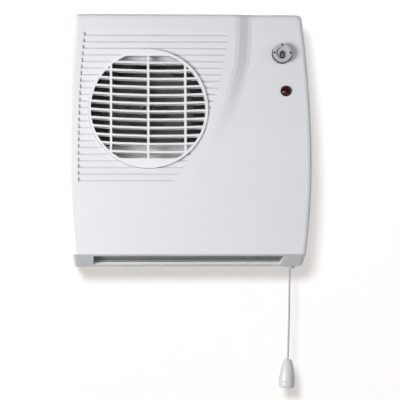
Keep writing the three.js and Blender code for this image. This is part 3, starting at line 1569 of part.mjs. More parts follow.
function panelPosts() {
  const root = -PANEL_THICKNESS + 0.5;
  const upright = (x, z, radius, tip) => pin(x, z, radius, tip, root, 8);
  const scrollTip = SCROLL_BACK_Y + SCROLL_PLATE + FIT;
  const motorTip = STACK_BACK_Y + BRACKET_STANDOFF + BRACKET_THICKNESS + FIT;
  const heaterX = HEATER_HALF_WIDTH - HEATER_POST_INSET;
  const heaterZ = (HEATER_TOP + HEATER_BOTTOM) / 2;
  const switchTip = SWITCH_BACK_Y + SWITCH_FOOT_LENGTH + FIT;
  return [
    ...scrollScrewPlaces().map(([x, z]) => upright(x, z, POST_RADIUS, scrollTip)),
    upright(SWITCH_FOOT_X, SWITCH_FOOT_Z, HEATER_POST_RADIUS, switchTip),
    ...onBothSides((side) => (
      upright(INTAKE_X + side * MOTOR_BOLT_OFFSET, INTAKE_Z, POST_RADIUS, motorTip)
    )),
    ...onBothSides((side) => (
      upright(side * heaterX, heaterZ, HEATER_POST_RADIUS, HEATER_BACK_Y + FIT)
    )),
    ...onBothSides((side) => (
      upright(clampScrewPlace(side), CLAMP_Z, SCREW_RADIUS + 1.8, CLAMP_BACK_Y + FIT)
    )),
    ...onBothSides(coverScrewBlock),
  ];
}

// blind holes stop short of the wall face
function panelHoles() {
  const floor = -PANEL_THICKNESS - 1;
  const blind = (x, z, radius) => pin(x, z, radius, -THROUGH, floor, 8);
  return [
    ...scrollScrewPlaces().map(([x, z]) => blind(x, z, SCROLL_SCREW_RADIUS + FIT)),
    ...onBothSides((side) => (
      blind(INTAKE_X + side * MOTOR_BOLT_OFFSET, INTAKE_Z, MOTOR_BOLT_RADIUS + FIT)
    )),
    ...onBothSides((side) => blind(clampScrewPlace(side), CLAMP_Z, SCREW_RADIUS + FIT)),
    ...onBothSides((side) => (
      post(side * COVER_SCREW_X, COVER_SCREW_Y, SCREW_RADIUS + FIT, -THROUGH, CASE_BOTTOM + 30, 8)
    )),
    keyhole(-KEYHOLE_X, KEYHOLE_HIGH_Z),
    keyhole(KEYHOLE_X, KEYHOLE_RIGHT_HIGH_Z),
    keyhole(-KEYHOLE_X, KEYHOLE_LOW_Z),
    keyhole(KEYHOLE_X, KEYHOLE_LOW_Z),
    bore(CABLE_X, CABLE_Z, CABLE_RADIUS, 20),
  ];
}

function rearPanel() {
  const tray = cut(
    frontExtrude(panelOutline(PANEL_OFFSET), -PANEL_THICKNESS - PANEL_RIM_DEPTH, 0),
    frontExtrude(panelOutline(PANEL_OFFSET + PANEL_RIM_WALL), -THROUGH, -PANEL_THICKNESS),
  );
  return cut(join(tray, ...panelPosts()), ...panelHoles());
}

// ---------- wiring: each lead ends square to the terminal that it meets ----------
function lampWire() {
  const z = TERMINAL_Z + TERMINAL_PITCH;
  const lampBack = surfaceY(LENS_X, LENS_Z) + LENS_LIP_BACK + LAMP_LENGTH + 10;
  return roundBarAlong([
    spot(LENS_X, lampBack, LENS_Z - 5),
    spot(LENS_X, lampBack + 14, LENS_Z - 8),
    spot(TERMINAL_X + 1, lampBack + 28, LENS_Z - 14),
    spot(TERMINAL_X, TERMINAL_FRONT_Y - 19, z + 16),
    spot(TERMINAL_X, TERMINAL_FRONT_Y - 8, z + 8),
    spot(TERMINAL_X, TERMINAL_FRONT_Y - 4.5, z + 3.8),
    spot(TERMINAL_X, TERMINAL_FRONT_Y - 0.4, z + 3.6),
  ], WIRE_RADIUS, WIRE_SIDES);
}

function switchWire() {
  const x = DIAL_X - 9;
  const z = TERMINAL_Z;
  const end = TERMINAL_X - TERMINAL_HALF_WIDTH;
  return roundBarAlong([
    spot(x, SWITCH_BACK_Y - 6, DIAL_Z - SWITCH_HALF - 0.4),
    spot(x, SWITCH_BACK_Y - 4, DIAL_Z - 22),
    spot(x - 2, SWITCH_BACK_Y + 8, DIAL_Z - 34),
    spot(end - 4, SWITCH_BACK_Y + 30, z + 37),
    spot(end - 4.5, SWITCH_BACK_Y + 54, z + 17),
    spot(end - 4.2, WIRE_WAY_Y - 1, z + 7),
    spot(end - 3, WIRE_WAY_Y, z + 1.4),
    spot(end - 0.5, WIRE_WAY_Y, z + 0.6),
  ], WIRE_RADIUS, WIRE_SIDES);
}

function heaterWire() {
  const x = DIAL_X + SWITCH_HALF;
  const y = SWITCH_FRONT_Y;
  const tip = HEATER_HALF_WIDTH + TAB_LENGTH;
  const tabY = HEATER_FRONT_Y + TAB_DEPTHS[0];
  return roundBarAlong([
    spot(x - 3, y + 4, DIAL_Z - SWITCH_HALF - 0.4),
    spot(x - 1, y + 3.6, DIAL_Z - 22),
    spot(x + 3.4, y + 2, DIAL_Z - 34),
    spot(x + 4.6, y, DIAL_Z - 68),
    spot(x + 4, y, HEATER_TOP + 42),
    spot(tip + 9, y + 4, HEATER_TOP + 10),
    spot(tip + 4, tabY - 2, HEATER_TOP - 4),
    spot(tip + 0.6, tabY, TAB_Z),
  ], WIRE_RADIUS, WIRE_SIDES);
}

function motorWire() {
  const coilX = INTAKE_X + WINDOW_HALF_WIDTH;
  const coilZ = INTAKE_Z + WINDOW_BOTTOM - 6;
  const z = TERMINAL_Z - TERMINAL_PITCH;
  const end = TERMINAL_X - TERMINAL_HALF_WIDTH;
  return roundBarAlong([
    spot(coilX + 2.5, -9.5, coilZ),
    spot(coilX + 16, -9, coilZ - 8),
    spot(coilX + 44, -8.5, coilZ - 20),
    spot(coilX + 74, -8.5, coilZ - 22),
    spot(end - 18, -8.5, coilZ - 22),
    spot(end - 7, WIRE_WAY_Y, z - 19),
    spot(end - 5, WIRE_WAY_Y, z - 6),
    spot(end - 3, WIRE_WAY_Y, z - 2),
    spot(end - 0.5, WIRE_WAY_Y, z - 1.6),
  ], WIRE_RADIUS, WIRE_SIDES);
}

// ---------- assembly ----------
const WHITE = 0xe9eaec;
const PALE = 0xd9dadb;
const STEEL = 0x9a9da0;
const BLACK = 0x222326;
const COPPER = 0xa86a3a;
const BRASS = 0xb59a55;

function addHousing(group) {
  group.add(part('rear_panel', rearPanel(), 0xdcdddd, 0.5, 0));
  group.add(part('front_cover', frontCover(), WHITE, 0.35, 0));
  group.add(part('intake_grille', intakeGrille(), 0xf2f3f4, 0.4, 0));
  group.add(part('outlet_grille', outletGrille(), PALE, 0.45, 0));
  group.add(part('cover_screw_left', coverScrew(-1), STEEL, 0.35, 1));
  group.add(part('cover_screw_right', coverScrew(1), STEEL, 0.35, 1));
}

function addFan(group) {
  group.add(part('fan_scroll', fanScroll(), 0x4a4b4d, 0.55, 0));
  group.add(part('fan_shroud', fanShroud(), PALE, 0.5, 0));
  group.add(part('inlet_ring', inletRing(), 0x3a3b3d, 0.5, 0));
  group.add(part('impeller', impeller(), 0x3a3835, 0.5, 0));
  group.add(part('impeller_nut', impellerNut(), BRASS, 0.4, 1));
  scrollScrewPlaces().forEach((place, index) => {
    group.add(part(`scroll_screw_${index + 1}`, scrollScrew(place), STEEL, 0.35, 1));
  });
}

function addMotor(group) {
  group.add(part('motor_shaft', motorShaft(), 0xb4b7ba, 0.25, 1));
  group.add(part('motor_rotor', motorRotor(), 0x8a8c8e, 0.4, 1));
  group.add(part('motor_stator', motorStator(), 0x6f7275, 0.5, 1));
  group.add(part('coil_bobbin', coilBobbin(), 0xd8d3c2, 0.5, 0));
  group.add(part('motor_coil', motorCoil(), COPPER, 0.4, 1));
  group.add(part('front_bearing_bracket', bearingBracket(true), 0xa9acae, 0.4, 1));
  group.add(part('rear_bearing_bracket', bearingBracket(false), 0xa9acae, 0.4, 1));
  group.add(part('motor_bolt_left', motorBolt(-1), STEEL, 0.35, 1));
  group.add(part('motor_bolt_right', motorBolt(1), STEEL, 0.35, 1));
}

function addHeater(group) {
  group.add(part('heater_frame', heaterFrame(), 0xb9bcbe, 0.4, 1));
  group.add(part('heating_element_upper', heatingElement(ELEMENT_UPPER_Z), 0x6b625c, 0.5, 1));
  group.add(part('heating_element_lower', heatingElement(ELEMENT_LOWER_Z), 0x6b625c, 0.5, 1));
  [-BOARD_SPACING, 0, BOARD_SPACING].forEach((x, index) => {
    group.add(part(`mica_board_${index + 1}`, micaBoard(x), 0xb8a98c, 0.7, 0));
  });
  TAB_DEPTHS.forEach((depth, index) => {
    const name = `heater_terminal_${index + 1}`;
    group.add(part(name, heaterTerminal(HEATER_FRONT_Y + depth), BRASS, 0.35, 1));
  });
  group.add(part('thermal_cutout', thermalCutout(), BLACK, 0.45, 0));
}

function addControls(group) {
  group.add(part('selector_dial', selectorDial(), 0xc9cbcd, 0.4, 0));
  group.add(part('switch_body', switchBody(), 0x35373a, 0.5, 0));
  group.add(part('switch_lever', switchLever(), 0xe0e0dc, 0.45, 0));
  group.add(part('return_spring', returnSpring(), STEEL, 0.3, 1));
  group.add(part('inner_cord', innerCord(), 0xe6e6e4, 0.7, 0));
  group.add(part('pull_cord', pullCord(), 0xd2d2d0, 0.7, 0));
  group.add(part('pull_knob', pullKnob(), 0xdedfdf, 0.4, 0));
  group.add(part('cord_bush', cordBush(), WHITE, 0.4, 0));
  group.add(part('neon_lens', neonLens(), 0x6e0608, 0.12, 0));
  group.add(part('lamp_holder', lampHolder(), BLACK, 0.5, 0));
  group.add(part('neon_bulb', neonBulb(), 0xd9c8b8, 0.1, 0));
}

function addMainsSide(group) {
  group.add(part('terminal_block', terminalBlock(), 0xe2dfd2, 0.5, 0));
  terminalHeights().forEach((z, index) => {
    group.add(part(`terminal_screw_${index + 1}`, terminalScrew(z), BRASS, 0.3, 1));
  });
  group.add(part('cable_grommet', cableGrommet(), BLACK, 0.8, 0));
  group.add(part('cord_clamp', cordClamp(), 0xe2dfd2, 0.5, 0));
  group.add(part('clamp_screw_left', clampScrew(-1), STEEL, 0.35, 1));
  group.add(part('clamp_screw_right', clampScrew(1), STEEL, 0.35, 1));
  group.add(part('lamp_wire', lampWire(), 0x8a4a2a, 0.6, 0));
  group.add(part('switch_wire', switchWire(), 0x3c5f9a, 0.6, 0));
  group.add(part('heater_wire', heaterWire(), 0x2a2a2c, 0.6, 0));
  group.add(part('motor_wire', motorWire(), 0xb8b8b4, 0.6, 0));
}

const group = new THREE.Group();
group.name = 'bathroom_fan_heater';
addHousing(group);
addFan(group);
addMotor(group);
addHeater(group);
addControls(group);
addMainsSide(group);

export default group;
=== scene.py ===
"""Wall-mounted bathroom fan heater: camera, light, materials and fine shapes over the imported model."""
import math

import bmesh
import bpy
from mathutils import Matrix, Vector


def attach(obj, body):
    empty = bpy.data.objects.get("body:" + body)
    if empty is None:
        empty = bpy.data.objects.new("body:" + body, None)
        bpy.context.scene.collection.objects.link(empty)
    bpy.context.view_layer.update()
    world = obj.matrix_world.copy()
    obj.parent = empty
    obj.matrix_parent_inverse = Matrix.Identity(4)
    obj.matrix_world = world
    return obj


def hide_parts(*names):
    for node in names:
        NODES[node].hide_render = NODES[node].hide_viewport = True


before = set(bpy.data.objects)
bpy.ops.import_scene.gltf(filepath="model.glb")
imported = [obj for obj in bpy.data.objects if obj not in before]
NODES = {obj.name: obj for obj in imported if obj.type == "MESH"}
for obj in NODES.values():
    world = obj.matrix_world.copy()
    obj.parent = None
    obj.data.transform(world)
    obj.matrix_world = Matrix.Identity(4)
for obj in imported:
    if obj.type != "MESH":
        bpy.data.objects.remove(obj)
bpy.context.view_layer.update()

MM = 0.001

# ---------- camera: the photograph's frame is 400 mm wide at the face of the heater ----------
VIEW_DISTANCE = 2.2
VIEW_YAW = math.radians(3.0)
VIEW_TARGET = Vector((10.2 * MM, -116 * MM, -59 * MM))
FRAME_WIDTH = 0.400
SENSOR_WIDTH = 36


def make_camera():
    data = bpy.data.cameras.new("camera")
    data.sensor_width = SENSOR_WIDTH
    data.lens = SENSOR_WIDTH * VIEW_DISTANCE / FRAME_WIDTH
    camera = bpy.data.objects.new("camera", data)
    back = Vector((-math.sin(VIEW_YAW), -math.cos(VIEW_YAW), 0))
    camera.location = VIEW_TARGET + back * VIEW_DISTANCE
    camera.rotation_euler = (-back).to_track_quat("-Z", "Y").to_euler()
    bpy.context.scene.collection.objects.link(camera)
    bpy.context.scene.camera = camera


make_camera()
bpy.context.scene.view_settings.view_transform = "Standard"


# ---------- node helpers ----------
BLACK = (0, 0, 0, 1)
WHITE = (1, 1, 1, 1)


def srgb(value):
    return value / 12.92 if value <= 0.04045 else ((value + 0.055) / 1.055) ** 2.4


def colour(code, factor=1.0):
    return tuple(srgb(int(code[i : i + 2], 16) / 255) * factor for i in (0, 2, 4)) + (1.0,)


def new_material(name):
    material = bpy.data.materials.new(name)
    material.use_nodes = True
    nodes = material.node_tree.nodes
    return material, nodes, material.node_tree.links, nodes["Principled BSDF"]


def place_in(nodes, links, stretch=(1, 1, 1)):
    """Where a point lies on its own piece, so that a texture moves with the piece."""
    place = nodes.new("ShaderNodeTexCoord")
    mapping = nodes.new("ShaderNodeMapping")
    mapping.inputs["Scale"].default_value = stretch
    links.new(place.outputs["Object"], mapping.inputs["Vector"])
    return mapping.outputs["Vector"]


def noise(nodes, links, scale, detail, stretch=(1, 1, 1)):
    texture = nodes.new("ShaderNodeTexNoise")
    texture.inputs["Scale"].default_value = scale
    texture.inputs["Detail"].default_value = detail
    links.new(place_in(nodes, links, stretch), texture.inputs["Vector"])
    return texture.outputs["Fac"]


def wave(nodes, links, scale, direction, distortion=0.0):
    texture = nodes.new("ShaderNodeTexWave")
    texture.bands_direction = direction
    texture.inputs["Scale"].default_value = scale
    texture.inputs["Distortion"].default_value = distortion
    links.new(place_in(nodes, links), texture.inputs["Vector"])
    return texture.outputs["Fac"]


def cells(nodes, links, scale):
    texture = nodes.new("ShaderNodeTexVoronoi")
    texture.inputs["Scale"].default_value = scale
    links.new(place_in(nodes, links), texture.inputs["Vector"])
    return texture.outputs["Distance"]


def shade_range(nodes, links, source, low, high, start=0.35, end=0.65):
    """Goes from the low colour to the high one as the source goes from start to end."""
    ramp = nodes.new("ShaderNodeValToRGB")
    ramp.color_ramp.elements[0].position = start
    ramp.color_ramp.elements[0].color = low
    ramp.color_ramp.elements[1].position = end
    ramp.color_ramp.elements[1].color = high
    links.new(source, ramp.inputs["Fac"])
    return ramp.outputs["Color"]


def mask(nodes, links, source, start, end):
    """Black where the source is under start and white where it is over end."""
    return shade_range(nodes, links, source, BLACK, WHITE, start, end)


def spread(nodes, links, source, low, high):
    reach = nodes.new("ShaderNodeMapRange")
    reach.inputs["To Min"].default_value = low
    reach.inputs["To Max"].default_value = high
    links.new(source, reach.inputs["Value"])
    return reach.outputs["Result"]


def tint(nodes, links, tone, where, amount, second):
    """Blends up to this amount of a second colour into the tone, in step with the mask."""
    mix = nodes.new("ShaderNodeMix")
    mix.data_type = "RGBA"
    links.new(spread(nodes, links, where, 0.0, amount), mix.inputs["Factor"])
    links.new(tone, mix.inputs["A"])
    mix.inputs["B"].default_value = second
    return mix.outputs["Result"]


def compute(nodes, links, operation, first, second):
    node = nodes.new("ShaderNodeMath")
    node.operation = operation
    for socket, value in zip(node.inputs, (first, second)):
        if isinstance(value, float):
            socket.default_value = value
        else:
            links.new(value, socket)
    return node.outputs["Value"]


def add_bump(nodes, links, shader, height, strength, distance):
    bump = nodes.new("ShaderNodeBump")
    bump.inputs["Strength"].default_value = strength
    bump.inputs["Distance"].default_value = distance
    links.new(height, bump.inputs["Height"])
    links.new(bump.outputs["Normal"], shader.inputs["Normal"])


# ---------- materials ----------
DUST = "b9b4aa"
# Grey of the painted shade in grooves.
GROOVE_SHADE_TONE = "85847f"
GROOVE_REACH = 2 * MM
GRAIN_DEPTH = 0.4 * MM
LINE_DEPTH = 0.3 * MM
TURN_DEPTH = 0.6 * MM


def rubbed_edges(nodes, links):
    """Pointiness picks out the edges that hands and cloths rub."""
    geometry = nodes.new("ShaderNodeNewGeometry")
    return mask(nodes, links, geometry.outputs["Pointiness"], 0.5, 0.56)


def paint_groove_shade(nodes, links, tone, amount):
    """Painted shade: greys the colour where the surface closes in on itself, as in a groove or a notch."""
    shelter = nodes.new("ShaderNodeAmbientOcclusion")
    shelter.only_local = True
    shelter.samples = 8
    shelter.inputs["Distance"].default_value = GROOVE_REACH
    crease_shade = shade_range(nodes, links, shelter.outputs["AO"], WHITE, BLACK, 0.3, 0.85)
    return tint(nodes, links, tone, crease_shade, amount, colour(GROOVE_SHADE_TONE))


def plastic(name, code, roughness, grain=900, relief=0.08, mottle=0.03, wear=0.25, dust=0.0, groove_shade_amount=0.0):
    """Moulded plastic: cloudy colour, fine grain, rubbed edges, uneven gloss, a little dust and painted
    shade in grooves.
    """
    material, nodes, links, shader = new_material(name)
    cloud = noise(nodes, links, scale=22, detail=3)
    tone = shade_range(nodes, links, cloud, colour(code, 1 - mottle), colour(code, 1 + mottle))
    specks = mask(nodes, links, noise(nodes, links, scale=340, detail=4), 0.66, 0.74)
    tone = tint(nodes, links, tone, specks, 0.12 + dust, colour(DUST))
    tone = tint(nodes, links, tone, rubbed_edges(nodes, links), wear, colour(code, 1.12))
    # Painted shade in the grooves, taken from ambient occlusion.
    if groove_shade_amount:
        tone = paint_groove_shade(nodes, links, tone, groove_shade_amount)
    links.new(tone, shader.inputs["Base Color"])
    add_bump(nodes, links, shader, noise(nodes, links, grain, detail=2), relief, GRAIN_DEPTH)
    gloss = noise(nodes, links, scale=60, detail=3)
    links.new(spread(nodes, links, gloss, roughness - 0.07, roughness + 0.07), shader.inputs["Roughness"])
    return material


def metal(name, code, roughness, stretch=(1, 1, 30), scale=220, relief=0.12, dull="5a5550"):
    """Drawn or rolled metal: fine lines along one way, dull patches and small changes of gloss."""
    material, nodes, links, shader = new_material(name)
    lines = noise(nodes, links, scale, 4, stretch)
    tone = shade_range(nodes, links, lines, colour(code, 0.84), colour(code, 1.08))
    patches = mask(nodes, links, noise(nodes, links, scale=45, detail=5), 0.55, 0.8)
    links.new(tint(nodes, links, tone, patches, 0.35, colour(dull)), shader.inputs["Base Color"])
    add_bump(nodes, links, shader, lines, relief, LINE_DEPTH)
    links.new(spread(nodes, links, lines, roughness - 0.08, roughness + 0.12), shader.inputs["Roughness"])
    shader.inputs["Metallic"].default_value = 1.0
    return material


def winding(name):
    """Enamelled copper wire laid side by side around the limb."""
    material, nodes, links, shader = new_material(name)
    turns = wave(nodes, links, 330, "X", 0.6)
    tone = shade_range(nodes, links, turns, colour("5b2c14"), colour("c07a45"), 0.1, 0.7)
    patches = noise(nodes, links, scale=90, detail=3)
    links.new(tint(nodes, links, tone, patches, 0.5, colour("8f5128")), shader.inputs["Base Color"])
    add_bump(nodes, links, shader, turns, 0.7, TURN_DEPTH)
    links.new(spread(nodes, links, patches, 0.22, 0.42), shader.inputs["Roughness"])
    shader.inputs["Metallic"].default_value = 0.75
    return material


def laminations(name):
    """Stacked steel sheets seen on edge, with an oxidised skin."""
    material, nodes, links, shader = new_material(name)
    sheets = wave(nodes, links, 300, "Y", 0.3)
    tone = shade_range(nodes, links, sheets, colour("3b3d40"), colour("85888b"), 0.15, 0.6)
    rust = mask(nodes, links, noise(nodes, links, scale=70, detail=6), 0.58, 0.75)
    links.new(tint(nodes, links, tone, rust, 0.45, colour("5f4636")), shader.inputs["Base Color"])
    add_bump(nodes, links, shader, sheets, 0.5, GRAIN_DEPTH)
    links.new(spread(nodes, links, rust, 0.38, 0.68), shader.inputs["Roughness"])
    shader.inputs["Metallic"].default_value = 0.85
    return material


def mica(name):
    """Flaky mica sheet with pale scales."""
    material, nodes, links, shader = new_material(name)
    flakes = cells(nodes, links, 260)
    tone = shade_range(nodes, links, flakes, colour("c9b98f"), colour("8d7a55"), 0.1, 0.7)
    links.new(tone, shader.inputs["Base Color"])
    add_bump(nodes, links, shader, flakes, 0.3, LINE_DEPTH)
    gloss = noise(nodes, links, scale=200, detail=3)
    links.new(spread(nodes, links, gloss, 0.35, 0.65), shader.inputs["Roughness"])
    return material


def braid(name, code, pitch=620):
    """Two sets of strands laid over each other at a slant."""
    material, nodes, links, shader = new_material(name)
    sets = []
    for lean in (0.7, -0.7):
        mapping = nodes.new("ShaderNodeMapping")
        mapping.inputs["Rotation"].default_value = (0, lean, 0)
        links.new(place_in(nodes, links), mapping.inputs["Vector"])
        texture = nodes.new("ShaderNodeTexWave")
        texture.bands_direction = "Z"
        texture.inputs["Scale"].default_value = pitch
        texture.inputs["Distortion"].default_value = 0.4
        links.new(mapping.outputs["Vector"], texture.inputs["Vector"])
        sets.append(texture.outputs["Fac"])
    strands = compute(nodes, links, "MAXIMUM", *sets)
    tone = shade_range(nodes, links, strands, colour(code, 0.62), colour(code, 1.05), 0.2, 0.8)
    links.new(tone, shader.inputs["Base Color"])
    add_bump(nodes, links, shader, strands, 0.6, GRAIN_DEPTH)
    gloss = noise(nodes, links, scale=500, detail=2)
    links.new(spread(nodes, links, gloss, 0.6, 0.85), shader.inputs["Roughness"])
    shader.inputs["Sheen Weight"].default_value = 0.3
    return material


def sleeve(name, code):
    """Wire sleeve: soft plastic with rub marks along it."""
    material, nodes, links, shader = new_material(name)
    rubs = noise(nodes, links, 120, 4, (1, 1, 0.25))
    tone = shade_range(nodes, links, rubs, colour(code, 0.8), colour(code, 1.2))
    links.new(tone, shader.inputs["Base Color"])
    add_bump(nodes, links, shader, noise(nodes, links, scale=800, detail=2), 0.15, LINE_DEPTH)
    links.new(spread(nodes, links, rubs, 0.35, 0.6), shader.inputs["Roughness"])
    return material


def clear_red(name):
    """Dark red clear plastic with moulded facets inside."""
    material, nodes, links, shader = new_material(name)
    facets = cells(nodes, links, 420)
    tone = shade_range(nodes, links, facets, colour("6c0507"), colour("220102"), 0.0, 0.6)
    links.new(tone, shader.inputs["Base Color"])
    add_bump(nodes, links, shader, facets, 0.1, GRAIN_DEPTH)
    gloss = noise(nodes, links, scale=300, detail=2)
    links.new(spread(nodes, links, gloss, 0.07, 0.15), shader.inputs["Roughness"])
    shader.inputs["Specular IOR Level"].default_value = 0.3
    return material


def glass(name):
    """Drawn glass with faint streaks along it."""
    material, nodes, links, shader = new_material(name)
    streaks = noise(nodes, links, 150, 3, (1, 1, 6))
    tone = shade_range(nodes, links, streaks, colour("d9c4b2"), colour("f2e6dc"))
    links.new(tone, shader.inputs["Base Color"])
    links.new(spread(nodes, links, streaks, 0.03, 0.14), shader.inputs["Roughness"])
    add_bump(nodes, links, shader, streaks, 0.08, LINE_DEPTH)
    shader.inputs["Transmission Weight"].default_value = 0.8
    return material


def dress(material, *names):
    """Gives the named solids this material alone."""
    for name in names:
        piece = NODES[name]
        piece.data.materials.clear()
        piece.data.materials.append(material)


def dress_all():
    # The cover's louvre grooves get painted shade.
    cover_white = plastic("cover_white", "e9eaec", 0.4, mottle=0.006, wear=0.2, groove_shade_amount=0.24)
    grille_white = plastic("grille_white", "eeeef0", 0.36, mottle=0.01)
    dress(cover_white, "front_cover", "cord_bush")
    dress(grille_white, "intake_grille")
    dress(plastic("panel_white", "dfe0e1", 0.5, grain=700, relief=0.14, mottle=0.02), "rear_panel")
    dress(plastic("shroud_grey", "e6e6e7", 0.5, grain=700, relief=0.1, dust=0.15), "fan_shroud")
    outlet_grey = plastic("outlet_grey", "999b99", 0.5, relief=0.12, mottle=0.05, dust=0.1, wear=0.4)
    dress(outlet_grey, "outlet_grille")
    dress(plastic("scroll_dark", "333334", 0.55, relief=0.14, mottle=0.1, dust=0.12), "fan_scroll")
    dress(plastic("inlet_dark", "19191b", 0.5, relief=0.12, mottle=0.1, dust=0.08), "inlet_ring")
    dress(plastic("impeller_dark", "7a7067", 0.5, relief=0.12, mottle=0.12, dust=0.45), "impeller")
    nylon = plastic("natural_nylon", "dcd7c6", 0.42, mottle=0.03, relief=0.06)
    dress(nylon, "coil_bobbin", "cord_clamp", "switch_lever", "terminal_block")
    black = plastic("moulded_black", "26272a", 0.45, relief=0.1, mottle=0.12)
    dress(black, "switch_body", "lamp_holder", "thermal_cutout", "cable_grommet")
    steel = metal("zinc_steel", "a5a8ab", 0.36, (1, 1, 1), scale=260)
    dress(steel, *[name for name in NODES if "screw" in name or "motor_bolt" in name])
    dress(metal("ground_steel", "c0c3c6", 0.2, (1, 30, 1)), "motor_shaft", "return_spring")
    dress(metal("cast_rotor", "8d9093", 0.42, (8, 1, 8)), "motor_rotor")
    alloy = metal("pressed_alloy", "b0b2b4", 0.34, (1, 12, 1))
    dress(alloy, "front_bearing_bracket", "rear_bearing_bracket")
    dress(metal("plated_sheet", "bcbec0", 0.32, (20, 1, 1), relief=0.08), "heater_frame")
    oxide = metal("oxidised_wire", "7a6a60", 0.5, (14, 1, 14), scale=300, relief=0.25, dull="3a2f2a")
    dress(oxide, "heating_element_upper", "heating_element_lower")
    brass = metal("brass", "c0a35a", 0.3, (1, 8, 1), dull="7a6432")
    dress(brass, *[name for name in NODES if name.startswith(("heater_terminal", "terminal_screw"))])
    dress(metal("aged_brass", "5e5032", 0.5, dull="3a352c"), "impeller_nut")
    dress(laminations("stator_sheets"), "motor_stator")
    dress(winding("copper_winding"), "motor_coil")
    dress(mica("mica_sheet"), *[name for name in NODES if name.startswith("mica_board")])
    dress(braid("cord_inside", "e4e4e2"), "inner_cord")
    dress(glass("bulb_glass"), "neon_bulb")
    dress(sleeve("brown_sleeve", "7d4a2c"), "lamp_wire")
    dress(sleeve("blue_sleeve", "3c5f9a"), "switch_wire")
    dress(sleeve("black_sleeve", "2a2a2c"), "heater_wire")
    dress(sleeve("grey_sleeve", "b4b4b0"), "motor_wire")


# ---------- mesh helpers ----------
def link(name, mesh, material):
    """Puts a mesh into the scene as a piece of this name."""
    piece = bpy.data.objects.new(name, mesh)
    mesh.materials.append(material)
    bpy.context.scene.collection.objects.link(piece)
    return piece


def lathe(name, profile, material, turns=72):
    """Turns (radius, height) points in millimetres about Z; a point at radius 0 closes the form."""
    form = bmesh.new()
    rings = []
    for radius, height in [(across * MM, up * MM) for across, up in profile]:
        if radius == 0:
            rings.append([form.verts.new((0, 0, height))])
            continue
        angles = (2 * math.pi * turn / turns for turn in range(turns))
        rings.append([form.verts.new((radius * math.cos(a), radius * math.sin(a), height)) for a in angles])
    for first, second in zip(rings, rings[1:]):
        for turn in range(turns):
            after = (turn + 1) % turns
            corners = [first[turn % len(first)], first[after % len(first)]]
            corners += [second[after % len(second)], second[turn % len(second)]]
            unique = list(dict.fromkeys(corners))
            if len(unique) > 2:
                form.faces.new(unique)
    bmesh.ops.recalc_face_normals(form, faces=form.faces)
    mesh = bpy.data.meshes.new(name)
    form.to_mesh(mesh)
    form.free()
    mesh.shade_smooth()
    mesh.set_sharp_from_angle(angle=math.radians(35))
    return link(name, mesh, material)


def rounded_ring(name, across, up, width, depth, material, turns=48):
    """A raised oval ring with a rounded crest, rising along +Z from the XY plane. Across and up are the
    half-axes of its middle line."""
    form = bmesh.new()
    section = [(-0.5, 0.0), (-0.42, 0.7), (-0.2, 1.0), (0.2, 1.0), (0.42, 0.7), (0.5, 0.0)]
    rows = []
    for turn in range(turns):
        angle = 2 * math.pi * turn / turns
        row = []
        for out, rise in section:
            x = (across + out * width) * math.cos(angle)
            y = (up + out * width) * math.sin(angle)
            row.append(form.verts.new((x, y, rise * depth)))
        rows.append(row)
    for first, second in zip(rows, rows[1:] + rows[:1]):
        for index in range(len(section)):
            after = (index + 1) % len(section)
            form.faces.new((first[index], second[index], second[after], first[after]))
    bmesh.ops.recalc_face_normals(form, faces=form.faces)
    mesh = bpy.data.meshes.new(name)
    form.to_mesh(mesh)
    form.free()
    mesh.shade_smooth()
    return link(name, mesh, material)


def rounded_bar(name, across, up, depth, material):
    """A short raised bar with its crest bevelled, rising along +Z."""
    form = bmesh.new()
    bmesh.ops.create_cube(form, size=1.0, matrix=Matrix.Diagonal((across, up, depth, 1)))
    edges = [edge for edge in form.edges if all(vert.co.z > 0 for vert in edge.verts)]
    bmesh.ops.bevel(form, geom=edges, offset=0.3 * min(across, depth), segments=2, affect="EDGES")
    mesh = bpy.data.meshes.new(name)
    form.to_mesh(mesh)
    form.free()
    mesh.shade_smooth()
    mesh.set_sharp_from_angle(angle=math.radians(50))
    return link(name, mesh, material)


def settle(piece, matrix, body):
    """Moves the mesh itself, then ties the piece to its body."""
    piece.data.transform(matrix)
    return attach(piece, body)


# ---------- the leaning face beside the sloping step, as it is drawn for the solids ----------
FACE_DEPTH = 118 * MM
FACE_RADIUS = 950 * MM
FACE_FOREMOST_Z = -60 * MM
STEP_START_Z = -10 * MM
STEP_LENGTH = 108 * MM
STEP_DROP = 5 * MM


def face_y(height):
    share = min(max((height - STEP_START_Z) / STEP_LENGTH, 0.0), 1.0)
    drop = STEP_DROP * share * share * (3 - 2 * share)
    return -FACE_DEPTH + (height - FACE_FOREMOST_Z) ** 2 / (2 * FACE_RADIUS) + drop


def on_face(x, height):
    """Takes +Z of a drawn piece to the outward normal of the face, and +Y to its upward line."""
    step = 0.5 * MM
    lean = math.atan((face_y(height + step) - face_y(height - step)) / (2 * step))
    outward = Vector((0, -math.cos(lean), math.sin(lean)))
    upward = Vector((0, math.sin(lean), math.cos(lean)))
    turn = Matrix((Vector((1, 0, 0)), upward, outward)).transposed().to_4x4()
    return Matrix.Translation((x, face_y(height), height)) @ turn


# ---------- pull cord with its knob ----------
CORD_X = 104.3 * MM
CORD_Y = -70 * MM
BUSH_FACE = -128.6 * MM
CORD_VISIBLE = 93.1 * MM
CORD_LEAN = 1.8 * MM
CORD_POINTS = 24
CORD_RADIUS = 1 * MM
END_GAP = 0.3 * MM


def cord_point(below):
    return Vector((CORD_X - CORD_LEAN * (below / CORD_VISIBLE) ** 2, CORD_Y, BUSH_FACE - below))


